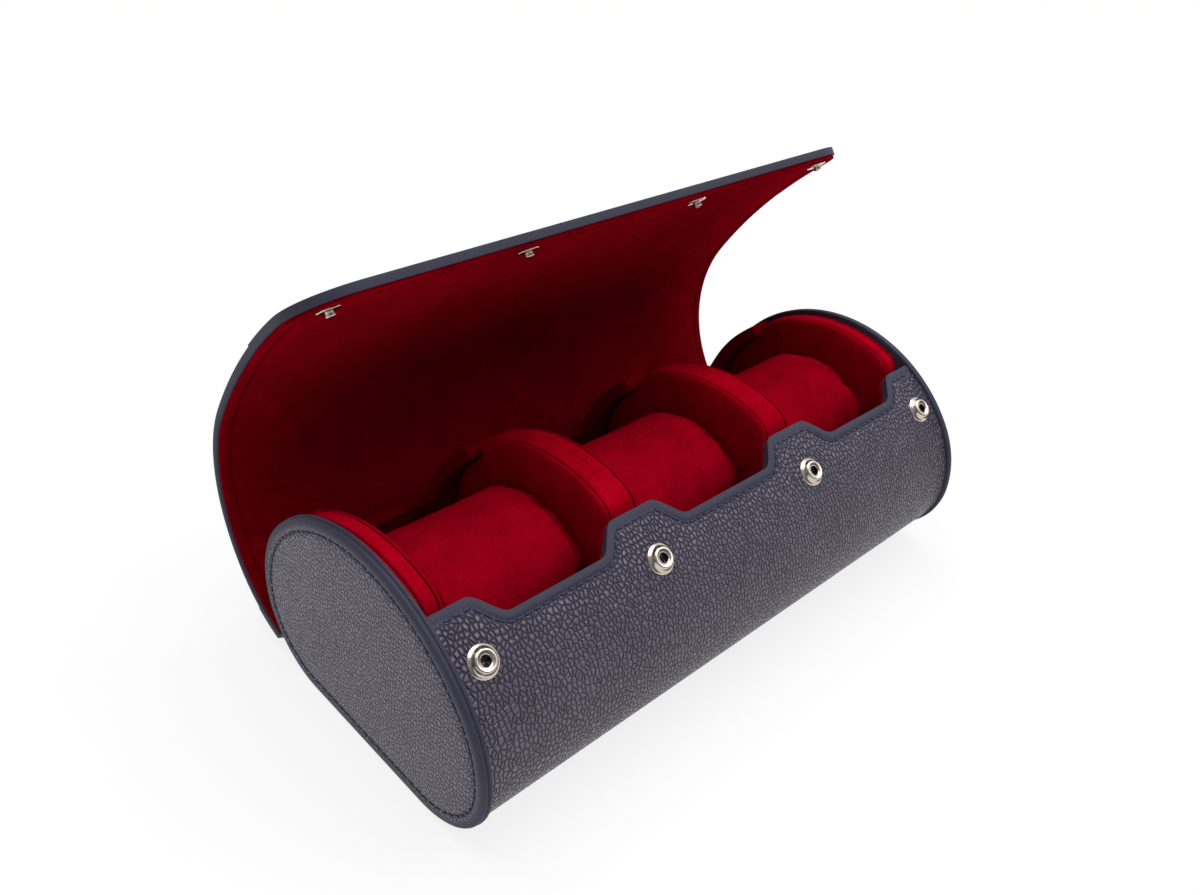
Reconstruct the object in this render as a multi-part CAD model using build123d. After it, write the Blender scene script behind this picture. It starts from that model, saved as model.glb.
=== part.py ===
from build123d import *
from math import atan2, cos, degrees, radians, sin, tan
import os

os.makedirs("parts", exist_ok=True)

# Watch travel case: a leather tray with a D-shaped section lies along X between two end
# discs, and a lid of the same leather leaves its lower back edge, stands up behind it and
# folds over to four snaps on the front. The front is -Y. The origin is at the centre of
# the underside. Millimetres. Angles on the crown are measured up from the horizontal.

# Case section, as the end discs show it
CASE_LENGTH = 210.0
CASE_WIDTH = 101.5
CASE_HEIGHT = 69.8
CROWN_RISE = 44.3         # shoulders and crown, above the base corners
SHOULDER_RADIUS = 38.0

# Layers of the tray wall
LEATHER = 1.6
BOARD = 1.5
LINING = 1.0
RIM_STEP = 1.0            # the discs stand this far proud of the tray
DISC_THICKNESS = 3.0
DISC_BOARD = 1.4
DISC_TURN_IN = 1.4        # leather wrapped round the rim of the disc's board
DISC_EDGE_RADIUS = 1.1

# Castellated top edges of the tray
FRONT_LOBE_ANGLE = 64.7
FRONT_VALLEY_ANGLE = 55.8
FRONT_END_LOBE_TOP = 12.5  # from the disc to the shoulder of the end lobe
FRONT_MIDDLE_LOBE_TOP = 17.5
FRONT_LOBE_FOOT = 6.5     # run of each flank
BACK_LOBE_ANGLE = 46.5
BACK_VALLEY_ANGLE = 18.0
BACK_END_LOBE_TOP = 10.5
BACK_MIDDLE_LOBE_TOP = 22.0
BACK_LOBE_FOOT = 2.5
LOBE_FILLET = 2.6

# Partitions
END_PAD_THICKNESS = 7.5
DIVIDER_THICKNESS = 12.5
MIDDLE_SLOT_EXTRA = 1.25  # the middle slot is this much longer than the outer ones
PANEL = 1.2               # suede with its backing
PARTITION_DROP = 1.5      # top of a partition below the rim of the discs
PARTITION_GAP = 0.15      # to the tray lining

# Cushions
CUSHION_PLAY = 2.25       # a slot is this much longer than its cushion
CUSHION_RIM_ROOM = 27.75  # from the side of the case to the side of a cushion
CUSHION_DROP = 10.2       # top of a cushion below the crown of the discs
CUSHION_CROWN_RADIUS = 29.0
CUSHION_CENTRE_Y = 2.7
CUSHION_FOOT_RADIUS = 12.0
CUSHION_COVER = 1.2
CUSHION_REST_GAP = 0.3

# Lid, opened flat: a chain of stiff panels joined by folds of the leather
LID_LEATHER = 1.6
LID_BOARD = 0.8
LID_LINING = 1.0
LID_HEM = 4.0             # leather turned in round the board
LINING_INSET = 0.6
LID_ROOT_ANGLE = 60.0     # where the lid leaves the base corner, below the horizontal
LID_ROOT_INSET = 1.9
LID_ROOT_LAP = 2.0        # the lid's leather runs this far back into the tray's
LID_START_ANGLE = 2.0
LID_HEEL_LENGTH = 30.0
LID_HEEL_RADIUS = 35.0
LID_BACK_LENGTH = 58.0
LID_BACK_RADIUS = 48.5
LID_FRONT_RADIUS = 188.0
LID_LENGTH = 161.5
LID_CORNER_RADIUS = 17.0
FOLD_1 = 12.0             # distances of the folds from the root, along the lid
FOLD_2 = 26.0
FOLD_3_TO_FRONT = 67.5    # and of the others from the lid's front edge
FOLD_4_TO_FRONT = 46.5
FOLD_5_TO_FRONT = 25.5
FOLD_GAP = 0.1
INNER_FOLD_ANGLE = 44.0   # most that one fold closes, with room to spare
OUTER_FOLD_ANGLE = 34.0   # most that one fold opens, with room to spare

# Snaps
SNAP_ANGLE = 47.7
SNAP_INNER_SHIFT = 0.3    # inner snaps nearer to the middle than the dividers
SNAP_END_ROOM = 7.3       # outer snaps from the discs
STUD_TO_FRONT = 9.5       # studs from the lid's front edge
SOCKET_FLANGE_RADIUS = 4.5
SOCKET_FLANGE = 0.5
SOCKET_FOOT_RADIUS = 3.9
SOCKET_TOP_RADIUS = 3.1
SOCKET_HEIGHT = 2.1
SOCKET_HOLE_RADIUS = 2.05
SOCKET_SINK = 0.2
RIVET_RADIUS = 1.9
RIVET_BORE_RADIUS = 1.3
RIVET_HEAD_RADIUS = 4.0
RIVET_HEAD = 0.5
RIVET_PROUD = 0.4         # end of the rivet above the socket's foot
STUD_PLATE_RADIUS = 4.0
STUD_PLATE = 0.5
STUD_KNOB_RADIUS = 1.35
STUD_KNOB = 1.5
STUD_POST_RADIUS = 0.8
STUD_BACK_RADIUS = 3.4
STUD_BACK = 0.4
FIT = 0.05                # running clearance round rivets, boards and cores

# Derived sizes
WALL = LEATHER + BOARD + LINING
END_X = CASE_LENGTH / 2
TRAY_X = END_X - DISC_THICKNESS
BASE_CORNER_RADIUS = CASE_HEIGHT - CROWN_RISE
SHOULDER_Y = CASE_WIDTH / 2 - SHOULDER_RADIUS
CROWN_RADIUS = (SHOULDER_Y ** 2 + CROWN_RISE ** 2 - SHOULDER_RADIUS ** 2) / (
    2 * (CROWN_RISE - SHOULDER_RADIUS))
CROWN_Z = CASE_HEIGHT - CROWN_RADIUS
CROWN_START = degrees(atan2(BASE_CORNER_RADIUS - CROWN_Z, SHOULDER_Y))
FRONT_ANGLES = (FRONT_VALLEY_ANGLE, FRONT_LOBE_ANGLE)
BACK_ANGLES = (BACK_VALLEY_ANGLE, BACK_LOBE_ANGLE)
SLOTS_X = TRAY_X - END_PAD_THICKNESS
OUTER_SLOT = (2 * (SLOTS_X - DIVIDER_THICKNESS) - MIDDLE_SLOT_EXTRA) / 3
DIVIDER_PITCH = OUTER_SLOT + MIDDLE_SLOT_EXTRA + DIVIDER_THICKNESS
SLOT_CENTRE = SLOTS_X - OUTER_SLOT / 2
CUSHION_LENGTH = OUTER_SLOT - CUSHION_PLAY
CUSHION_WIDTH = CASE_WIDTH - 2 * CUSHION_RIM_ROOM
CUSHION_TOP = CASE_HEIGHT - CUSHION_DROP
LID_THICKNESS = LID_LEATHER + LID_BOARD + LID_LINING
LID_OUTSIDE = -LID_THICKNESS / 2
LID_INSIDE = LID_THICKNESS / 2
FOLD_3 = LID_LENGTH - FOLD_3_TO_FRONT
FOLD_4 = LID_LENGTH - FOLD_4_TO_FRONT
FOLD_5 = LID_LENGTH - FOLD_5_TO_FRONT
STUD_DISTANCE = LID_LENGTH - STUD_TO_FRONT
LID_SKIN_FACE = LID_OUTSIDE + LID_LEATHER
LID_BOARD_FACE = LID_SKIN_FACE + LID_BOARD
SNAP_INNER_X = DIVIDER_PITCH / 2 - SNAP_INNER_SHIFT
SNAP_OUTER_X = TRAY_X - SNAP_END_ROOM
SNAP_XS = [-SNAP_OUTER_X, -SNAP_INNER_X, SNAP_INNER_X, SNAP_OUTER_X]
FAR = 2 * CASE_LENGTH     # reach of the cutting tools


# ---- helpers -------------------------------------------------------------------------
def save(node, shape):
    """Write one node."""
    export_step(shape, "parts/" + node + ".step")


def slab(face, x_low, x_high):
    """A (y, z) face made solid from one x to another."""
    return extrude(Plane.YZ.offset(x_low) * face, amount=x_high - x_low)


def section(step, depth):
    """The D-shaped section: step inside the discs' rim, then depth into the tray's wall."""
    corner_y = CASE_WIDTH / 2 - BASE_CORNER_RADIUS - step
    corner = BASE_CORNER_RADIUS - depth
    shoulder = SHOULDER_RADIUS - step - depth
    edges = [
        Line((-corner_y, depth), (corner_y, depth)),
        CenterArc((corner_y, BASE_CORNER_RADIUS), corner, -90, 90),
        CenterArc((SHOULDER_Y, BASE_CORNER_RADIUS), shoulder, 0, CROWN_START),
        CenterArc((0, CROWN_Z), CROWN_RADIUS - step - depth, CROWN_START, 180 - 2 * CROWN_START),
        CenterArc((-SHOULDER_Y, BASE_CORNER_RADIUS), shoulder, 180 - CROWN_START, CROWN_START),
        CenterArc((-corner_y, BASE_CORNER_RADIUS), corner, 180, 90),
    ]
    return make_face(edges)


def crown_frame(side, low_angle, high_angle):
    """A tangent plane between two crown angles, with the heights of both along it.

    The plane's x runs along the case and its y up along the crown; side is -1 in front."""
    mid = radians((low_angle + high_angle) / 2)
    half = radians((high_angle - low_angle) / 2)
    radius = CROWN_RADIUS - RIM_STEP - WALL / 2
    outward = (0, side * cos(mid), sin(mid))
    origin = (0, radius * outward[1], CROWN_Z + radius * outward[2])
    plane = Plane(origin=origin, x_dir=(-side, 0, 0), z_dir=outward)
    return plane, radius * sin(half)


def edge_cutter(side, angles, end_lobe, middle_lobe, foot):
    """What is cut away above the castellated edge on one side of the tray."""
    plane, half = crown_frame(side, *angles)
    end_top = TRAY_X - end_lobe
    middle_low = DIVIDER_PITCH / 2 - middle_lobe / 2
    middle_high = DIVIDER_PITCH / 2 + middle_lobe / 2
    stations = [
        (TRAY_X + FAR, half), (end_top, half), (end_top - foot, -half),
        (middle_high + foot, -half), (middle_high, half),
        (middle_low, half), (middle_low - foot, -half),
    ]
    edge = stations + [(-x, y) for x, y in reversed(stations)]
    outline = make_face(Polyline(*edge, (-TRAY_X - FAR, FAR), (TRAY_X + FAR, FAR), close=True))
    corners = [v for v in outline.vertices() if abs(v.X) < TRAY_X and v.Y < half + 1]
    return extrude(plane * fillet(corners, LOBE_FILLET), amount=CROWN_RADIUS / 3, both=True)


def above_lobes(side, angles):
    """The half of the (y, z) plane above the level of one side's lobes."""
    plane, half = crown_frame(side, *angles)
    tilt = degrees(atan2(plane.y_dir.Z, plane.y_dir.Y)) - 90
    place = Pos(plane.origin.Y, plane.origin.Z) * Rot(0, 0, tilt)
    return place * Pos(0, half + PARTITION_GAP + FAR / 2) * Rectangle(FAR, FAR)


def lid_state(distance):
    """Point and heading (degrees) on the middle surface of the open lid."""
    root = radians(-LID_ROOT_ANGLE)
    corner = BASE_CORNER_RADIUS - LID_ROOT_INSET
    y = CASE_WIDTH / 2 - BASE_CORNER_RADIUS + corner * cos(root)
    z = BASE_CORNER_RADIUS + corner * sin(root)
    heading = LID_START_ANGLE
    bends = [(LID_HEEL_LENGTH, LID_HEEL_RADIUS), (LID_BACK_LENGTH, LID_BACK_RADIUS),
             (FAR, LID_FRONT_RADIUS)]
    left = distance
    for length, radius in bends:
        run = min(left, length)
        turn = degrees(run / radius)
        y += radius * (sin(radians(heading + turn)) - sin(radians(heading)))
        z -= radius * (cos(radians(heading + turn)) - cos(radians(heading)))
        heading += turn
        left -= run
        if left <= 0:
            break
    return y, z, heading


def lid_point(distance, offset):
    """A point off the lid's middle surface; offset is towards its lining."""
    y, z, heading = lid_state(distance)
    return (y - offset * sin(radians(heading)), z + offset * cos(radians(heading)))


def fold_cut(distance, offset, way):
    """Where a panel stops at a fold, at one offset: the V leaves room to fold both ways."""
    angle = INNER_FOLD_ANGLE if offset > 0 else OUTER_FOLD_ANGLE
    return distance + way * (FOLD_GAP / 2 + abs(offset) * tan(radians(angle / 2)))


def lid_layer(start, end, low, high, fold_start, fold_end):
    """The (y, z) face of one layer of the lid between two distances."""
    def run(offset):
        first = fold_cut(start, offset, 1) if fold_start else start
        last = fold_cut(end, offset, -1) if fold_end else end
        knots = [LID_HEEL_LENGTH, LID_HEEL_LENGTH + LID_BACK_LENGTH]
        stops = [first] + [k for k in knots if first < k < last] + [last]
        arcs = [
            ThreePointArc(lid_point(a, offset), lid_point((a + b) / 2, offset), lid_point(b, offset))
            for a, b in zip(stops, stops[1:])
        ]
        return arcs, lid_point(first, offset), lid_point(last, offset)

    below, below_first, below_last = run(low)
    above, above_first, above_last = run(high)
    ends = []
    for folded, place, way, under, over in ((fold_start, start, 1, below_first, above_first),
                                            (fold_end, end, -1, below_last, above_last)):
        if folded and low < 0 < high:
            waist = lid_point(fold_cut(place, 0, way), 0)
            ends += [Line(under, waist), Line(waist, over)]
        else:
            ends.append(Line(under, over))
    return make_face(below + above + ends)


# ---- tray ----------------------------------------------------------------------------
def ring(outer_depth, inner_depth):
    """One layer of the tray, all the way round, between the discs."""
    face = section(RIM_STEP, outer_depth) - section(RIM_STEP, inner_depth)
    return slab(face, -TRAY_X, TRAY_X)


def back_region():
    """Everything behind the line where the lid leaves the base corner."""
    corner_y = CASE_WIDTH / 2 - BASE_CORNER_RADIUS - RIM_STEP
    down = radians(-LID_ROOT_ANGLE)
    foot = (corner_y + FAR * cos(down), BASE_CORNER_RADIUS + FAR * sin(down))
    face = make_face(Polyline(
        (0, BASE_CORNER_RADIUS), (corner_y, BASE_CORNER_RADIUS), foot,
        (FAR, foot[1]), (FAR, FAR), (0, FAR), close=True))
    return slab(face, -FAR, FAR)


def tail(low, high, start=0.0):
    """One layer of the short fixed part of the lid, narrow enough for the discs."""
    return slab(lid_layer(start, FOLD_1, low, high, False, True), -TRAY_X, TRAY_X)


def snap_locations():
    """Each socket's place on the tray, looking out through the leather."""
    angle = radians(SNAP_ANGLE)
    radius = CROWN_RADIUS - RIM_STEP - SOCKET_SINK
    return [
        Plane(origin=(x, -radius * cos(angle), CROWN_Z + radius * sin(angle)),
              x_dir=(1, 0, 0), z_dir=(0, -cos(angle), sin(angle)))
        for x in SNAP_XS
    ]


def disc_of(radius, low, high):
    """A plain round slab along its own axis."""
    return extrude(Pos(0, 0, low) * Circle(radius), amount=high - low)


def rivet_sizes():
    """Heights of the rivet's head, from the socket's foot: below the leather."""
    top = SOCKET_SINK - LEATHER
    return top - RIVET_HEAD, top


def build_tray():
    """Leather, board and lining of the tray, with its separate back wall."""
    back = back_region()
    opening = edge_cutter(-1, FRONT_ANGLES, FRONT_END_LOBE_TOP, FRONT_MIDDLE_LOBE_TOP,
                          FRONT_LOBE_FOOT)
    opening += edge_cutter(1, BACK_ANGLES, BACK_END_LOBE_TOP, BACK_MIDDLE_LOBE_TOP, BACK_LOBE_FOOT)
    root_room = slab(lid_layer(-LID_ROOT_LAP - FIT, FOLD_1, LID_OUTSIDE - LEATHER, LID_INSIDE + FIT,
                               False, False), -FAR, FAR)
    head_low, head_high = rivet_sizes()

    layers = [("leather", 0, LEATHER), ("board", LEATHER, LEATHER + BOARD),
              ("lining", LEATHER + BOARD, WALL)]
    for name, outer, inner in layers:
        whole = ring(outer, inner) - opening
        front = whole - back
        wall = (whole & back) - root_room
        if name == "leather":
            front += tail(LID_OUTSIDE, LID_SKIN_FACE, -LID_ROOT_LAP)
            for place in snap_locations():
                front -= place * disc_of(SOCKET_FLANGE_RADIUS + FIT, 0, WALL)
                front -= place * disc_of(RIVET_RADIUS + FIT, -WALL, 0)
                front -= place * disc_of(RIVET_HEAD_RADIUS + FIT, -WALL, head_high)
        elif name == "board":
            front -= root_room
            for place in snap_locations():
                front -= place * disc_of(RIVET_HEAD_RADIUS + FIT, head_low - FIT, WALL)
        save("shell_" + name, front)
        save("back_wall_" + ("facing" if name == "leather" else name), wall)

    save("tail_board", tail(LID_SKIN_FACE, LID_BOARD_FACE))
    save("tail_lining", tail(LID_BOARD_FACE, LID_INSIDE))


def build_discs():
    """The two end discs: leather folded round a board."""
    for name, side in (("left", -1), ("right", 1)):
        lows = sorted((side * TRAY_X, side * END_X))
        leather = slab(section(0, 0), *lows)
        rim = leather.faces().sort_by(Axis.X)[0 if side < 0 else -1].edges()
        leather = fillet(rim, DISC_EDGE_RADIUS)
        pocket = sorted((side * TRAY_X, side * (TRAY_X + DISC_BOARD)))
        leather -= slab(section(DISC_TURN_IN, 0) & section(0, DISC_TURN_IN), *pocket)
        save("end_disc_leather_" + name, leather)
        inset = DISC_TURN_IN + FIT
        board = section(inset, 0) & section(0, inset)
        save("end_disc_board_" + name, slab(board, *pocket))


def partition_face(inset):
    """The tray's section inside its lining, raised to the discs' level between the lobes."""
    raised = section(PARTITION_DROP, 0)
    raised &= above_lobes(-1, FRONT_ANGLES) & above_lobes(1, BACK_ANGLES)
    face = section(RIM_STEP, WALL + PARTITION_GAP) + raised
    return offset(face, -inset, kind=Kind.INTERSECTION) if inset else face


def build_partitions():
    """The end pads and the dividers, each a core, a gusset round it and suede faces."""
    whole = partition_face(0)
    gusset = whole - partition_face(PANEL)
    core = partition_face(PANEL + FIT)
    for name, side in (("left", -1), ("right", 1)):
        inner = TRAY_X - END_PAD_THICKNESS
        body = sorted((side * TRAY_X, side * (inner + PANEL)))
        save("end_pad_core_" + name, slab(core, *body))
        save("end_pad_gusset_" + name, slab(gusset, *body))
        save("end_pad_face_" + name, slab(whole, *sorted((side * inner, side * (inner + PANEL)))))

        low = side * DIVIDER_PITCH / 2 - DIVIDER_THICKNESS / 2
        high = low + DIVIDER_THICKNESS
        save("divider_core_" + name, slab(core, low + PANEL, high - PANEL))
        save("divider_gusset_" + name, slab(gusset, low + PANEL, high - PANEL))
        faces = [slab(whole, low, low + PANEL), slab(whole, high - PANEL, high)]
        save("divider_faces_" + name, Compound(children=faces))


# ---- cushions ------------------------------------------------------------------------
def cushion_face(inset):
    """A loaf: a crowned top, straight sides as far apart as the rims allow, a rounded foot."""
    half = CUSHION_WIDTH / 2
    floor = WALL + CUSHION_REST_GAP
    crown_z = CUSHION_TOP - CUSHION_CROWN_RADIUS
    body = Pos(0, (floor + CUSHION_TOP) / 2) * Rectangle(2 * half, CUSHION_TOP - floor)
    face = body & (Pos(0, crown_z) * Circle(CUSHION_CROWN_RADIUS)
                   + Pos(0, (floor + crown_z) / 2) * Rectangle(2 * half, crown_z - floor))
    feet = face.vertices().group_by(Axis.Y)[0]
    face = Pos(CUSHION_CENTRE_Y, 0) * fillet(feet, CUSHION_FOOT_RADIUS)
    return offset(face, -inset) if inset else face


def build_cushions():
    """Three rolls: foam in a suede cover, closed by a panel at each end."""
    for number, middle in enumerate((-SLOT_CENTRE, 0.0, SLOT_CENTRE), start=1):
        low, high = middle - CUSHION_LENGTH / 2, middle + CUSHION_LENGTH / 2
        cover = cushion_face(0) - cushion_face(CUSHION_COVER)
        save(f"cushion_cover_{number}", slab(cover, low + CUSHION_COVER, high - CUSHION_COVER))
        save(f"cushion_core_{number}", slab(cushion_face(CUSHION_COVER + FIT),
                                            low + CUSHION_COVER, high - CUSHION_COVER))
        ends = [slab(cushion_face(0), low, low + CUSHION_COVER),
                slab(cushion_face(0), high - CUSHION_COVER, high)]
        save(f"cushion_ends_{number}", Compound(children=ends))


# ---- lid -----------------------------------------------------------------------------
def front_corners(inset):
    """What is cut away outside the rounded corners of the lid's front edge."""
    y, z, heading = lid_state(LID_LENGTH)
    plane = Plane(origin=(0, y, z), x_dir=(1, 0, 0),
                  z_dir=(0, -sin(radians(heading)), cos(radians(heading))))
    reach = LID_CORNER_RADIUS
    sheet = Pos(0, FAR / 2 - inset) * Rectangle(CASE_LENGTH - 2 * inset, FAR)
    sheet = sheet if plane.y_dir.dot(Vector(0, cos(radians(heading)), sin(radians(heading)))) < 0 \
        else Pos(0, -FAR + 2 * inset) * sheet
    tips = [v for v in sheet.vertices() if abs(v.Y) < FAR / 2]
    sheet = fillet(tips, reach - inset)
    whole = Rectangle(2 * FAR, 4 * FAR)
    return extrude(plane * (whole - sheet), amount=reach, both=True)


def stud_locations():
    """Each stud's place on the lid's lining, looking away from the lid."""
    y, z = lid_point(STUD_DISTANCE, LID_INSIDE)
    heading = radians(lid_state(STUD_DISTANCE)[2])
    return [Plane(origin=(x, y, z), x_dir=(1, 0, 0), z_dir=(0, -sin(heading), cos(heading)))
            for x in SNAP_XS]


def build_lid():
    """Five panels of leather, board and lining between the folds."""
    folds = [FOLD_1, FOLD_2, FOLD_3, FOLD_4, FOLD_5, LID_LENGTH]
    back_depth = LID_LINING + STUD_BACK
    for number, (start, end) in enumerate(zip(folds, folds[1:]), start=1):
        last = end == LID_LENGTH
        board_end = end - LID_HEM if last else end
        wide, hemmed = CASE_LENGTH / 2, CASE_LENGTH / 2 - LID_HEM
        leather = slab(lid_layer(start, end, LID_OUTSIDE, LID_BOARD_FACE, True, not last), -wide, wide)
        leather -= slab(lid_layer(start, board_end, LID_SKIN_FACE, LID_BOARD_FACE, True, not last),
                        -hemmed, hemmed)
        board = slab(lid_layer(start, board_end, LID_SKIN_FACE, LID_BOARD_FACE, True, not last),
                     -hemmed, hemmed)
        lining_end = end - LINING_INSET if last else end
        lining_x = wide - LINING_INSET
        lining = slab(lid_layer(start, lining_end, LID_BOARD_FACE, LID_INSIDE, True, not last),
                      -lining_x, lining_x)
        if last:
            leather -= front_corners(0)
            lining -= front_corners(LINING_INSET)
            for place in stud_locations():
                lining -= place * disc_of(STUD_POST_RADIUS + FIT, -LID_THICKNESS, 1)
                lining -= place * disc_of(STUD_PLATE_RADIUS + FIT, 0, 1)
                board -= place * disc_of(STUD_BACK_RADIUS + FIT, -back_depth - FIT, 1)
                leather -= place * disc_of(STUD_BACK_RADIUS + FIT, -back_depth - FIT, 1)
        save(f"lid_leather_{number}", leather)
        save(f"lid_board_{number}", board)
        save(f"lid_lining_{number}", lining)


# ---- snaps ---------------------------------------------------------------------------
def build_snaps():
    """Four sockets riveted to the tray and four studs riveted to the lid."""
    head_low, head_high = rivet_sizes()
    flange = disc_of(SOCKET_FLANGE_RADIUS, 0, SOCKET_FLANGE)
    dome = Pos(0, 0, SOCKET_FLANGE + (SOCKET_HEIGHT - SOCKET_FLANGE) / 2) * Cone(
        SOCKET_FOOT_RADIUS, SOCKET_TOP_RADIUS, SOCKET_HEIGHT - SOCKET_FLANGE)
    socket = flange + dome - disc_of(SOCKET_HOLE_RADIUS, 0, SOCKET_HEIGHT)
    rivet = disc_of(RIVET_HEAD_RADIUS, head_low, head_high)
    rivet += disc_of(RIVET_RADIUS, head_high, RIVET_PROUD)
    rivet -= disc_of(RIVET_BORE_RADIUS, head_low, RIVET_PROUD)
    save("snap_sockets", Compound(children=[place * socket for place in snap_locations()]))
    save("socket_rivets", Compound(children=[place * rivet for place in snap_locations()]))

    stud = disc_of(STUD_PLATE_RADIUS, 0, STUD_PLATE)
    stud += disc_of(STUD_KNOB_RADIUS, STUD_PLATE, STUD_PLATE + STUD_KNOB)
    stud_back = disc_of(STUD_BACK_RADIUS, -LID_LINING - STUD_BACK, -LID_LINING)
    stud_back += disc_of(STUD_POST_RADIUS, -LID_LINING, 0)
    save("snap_studs", Compound(children=[place * stud for place in stud_locations()]))
    save("stud_rivets", Compound(children=[place * stud_back for place in stud_locations()]))


build_tray()
build_discs()
build_partitions()
build_cushions()
build_lid()
build_snaps()
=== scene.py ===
# %% [markdown]
# # A leather travel case for three watches
#
# The case is a D-shaped leather tray between two end discs. Its lid leaves the lower back edge,
# stands up behind the tray and folds over to four snaps. The measured model could be shown as it
# is, with materials alone, but seams, grooves and stitches need finer meshes. So each piece that
# shows is made anew here, in millimetres, and takes the place of the model's own node.

# %% Load the frame
import bmesh
import bpy
from functools import cache
from math import atan2, cos, degrees, exp, hypot, pi, radians, sin, sqrt
from mathutils import Matrix, Vector


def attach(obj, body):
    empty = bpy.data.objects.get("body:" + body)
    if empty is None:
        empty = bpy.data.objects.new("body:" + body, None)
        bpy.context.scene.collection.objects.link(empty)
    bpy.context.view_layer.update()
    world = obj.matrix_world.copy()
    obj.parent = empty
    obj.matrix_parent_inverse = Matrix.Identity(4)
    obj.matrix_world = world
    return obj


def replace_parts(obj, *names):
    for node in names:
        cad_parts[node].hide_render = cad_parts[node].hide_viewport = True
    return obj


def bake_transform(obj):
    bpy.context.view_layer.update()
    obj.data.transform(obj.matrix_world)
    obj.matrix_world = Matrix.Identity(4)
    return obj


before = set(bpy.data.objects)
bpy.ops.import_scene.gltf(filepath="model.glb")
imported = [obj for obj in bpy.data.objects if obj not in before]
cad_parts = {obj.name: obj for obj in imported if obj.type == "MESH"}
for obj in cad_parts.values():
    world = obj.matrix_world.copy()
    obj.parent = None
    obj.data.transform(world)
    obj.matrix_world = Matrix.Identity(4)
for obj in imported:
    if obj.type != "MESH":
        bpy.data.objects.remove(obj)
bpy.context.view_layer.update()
MM = 0.001
print("nodes in the frame:", len(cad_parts))

# %% [markdown]
# ## The sizes that the looks share with the model
#
# The section of the case is a run of arcs: a crown, two shoulders and two base corners. The lid is
# a chain of three arcs that starts at the back corner. The numbers could be measured off the
# model's meshes. They are written out instead, because every later cell can then compute a point
# on the leather exactly. All lengths are millimetres and all angles degrees.

# %% Sizes
CASE_LENGTH, CASE_WIDTH, CASE_HEIGHT = 210.0, 101.5, 69.8
BASE_CORNER_RADIUS, SHOULDER_RADIUS = 25.5, 38.0
RIM_STEP, DISC_THICKNESS, WALL = 1.0, 3.0, 4.1
SHOULDER_Y = CASE_WIDTH / 2 - SHOULDER_RADIUS
RISE = CASE_HEIGHT - BASE_CORNER_RADIUS
CROWN_RADIUS = (SHOULDER_Y ** 2 + RISE ** 2 - SHOULDER_RADIUS ** 2) / (2 * (RISE - SHOULDER_RADIUS))
CROWN_Z = CASE_HEIGHT - CROWN_RADIUS
CROWN_START = degrees(atan2(BASE_CORNER_RADIUS - CROWN_Z, SHOULDER_Y))
END_X = CASE_LENGTH / 2
TRAY_X = END_X - DISC_THICKNESS

# Crown angles of the valleys and the lobes, and where the edge turns along x (-1 low, 1 high)
FRONT_EDGE = (55.8, 64.7, ((18.75, -1), (25.25, 1), (42.75, 1), (49.25, -1), (83.0, -1), (89.5, 1)))
BACK_EDGE = (18.0, 46.5, ((20.5, -1), (23.0, 1), (45.0, 1), (47.5, -1), (89.0, -1), (91.5, 1)))

END_PAD_THICKNESS, DIVIDER_THICKNESS, DIVIDER_PITCH = 7.5, 12.5, 68.0
CUSHION_LENGTH, CUSHION_WIDTH, CUSHION_TOP = 52.0, 46.0, 59.6
CUSHION_CROWN_RADIUS, CUSHION_FOOT_RADIUS, CUSHION_FLOOR = 29.0, 12.0, WALL + 0.3
CUSHION_CENTRE_Y, CUSHION_CENTRE_Z = 2.7, 30.0
SLOT_CENTRES = [-67.375, 0.0, 67.375]

LID_ROOT_ANGLE, LID_ROOT_INSET, LID_START_ANGLE = 60.0, 1.9, 2.0
LID_BENDS = [(30.0, 35.0), (58.0, 48.5), (400.0, 188.0)]          # (length, radius) of each arc
LID_LENGTH, LID_CORNER_RADIUS = 161.5, 17.0
LID_FOLDS = [12.0, 26.0, 94.0, 115.0, 136.0]
LID_SPLITS = [0.0, 19.0, 60.0, 104.5, 125.5, LID_LENGTH]
LID_OUTSIDE, LID_HEM_FACE, LID_INSIDE = -1.7, 0.7, 1.7             # off its middle surface

SNAP_ANGLE, SNAP_XS, STUD_DISTANCE = 47.7, [-94.7, -33.7, 33.7, 94.7], 152.0
print(f"crown radius {CROWN_RADIUS:.2f}, crown centre {CROWN_Z:.2f} above the base")

# %% [markdown]
# ## From a flat grid to a piece
#
# Leather and suede are sheets. A sheet could be cut out of a solid or sculpted, but then its mesh
# would not follow its edges. So every surface starts as one of Blender's own grids, and each
# corner of the grid is carried to its place: a row can follow the edge of the leather or run round
# a disc. The modifiers then give it thickness, as a real sheet has.

# %% Helpers for meshes
SHARP_ANGLE = radians(55)
MERGE_DISTANCE = 2e-6              # metres


def mapped_mesh(columns, rows, place, flat=None):
    """A grid of cells whose corner (i, j) sits at place(i, j), with seams and poles closed.

    flat(i, j) is the same corner on the hide laid out flat, which the grain follows."""
    mesh = bmesh.new()
    bmesh.ops.create_grid(mesh, x_segments=columns, y_segments=rows, size=0.5)
    cell = {v: (round((v.co.x + 0.5) * columns), round((v.co.y + 0.5) * rows)) for v in mesh.verts}
    if flat:
        hide = mesh.loops.layers.uv.new("hide")
        for face in mesh.faces:
            for corner in face.loops:
                corner[hide].uv = Vector(flat(*cell[corner.vert])) * MM
    for corner in mesh.verts:
        corner.co = Vector(place(*cell[corner])) * MM
    bmesh.ops.remove_doubles(mesh, verts=mesh.verts, dist=MERGE_DISTANCE)
    return mesh


def shade(data):
    """A mesh looks round everywhere but at its sharp edges."""
    data.shade_smooth()
    data.set_sharp_from_angle(angle=SHARP_ANGLE)


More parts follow.
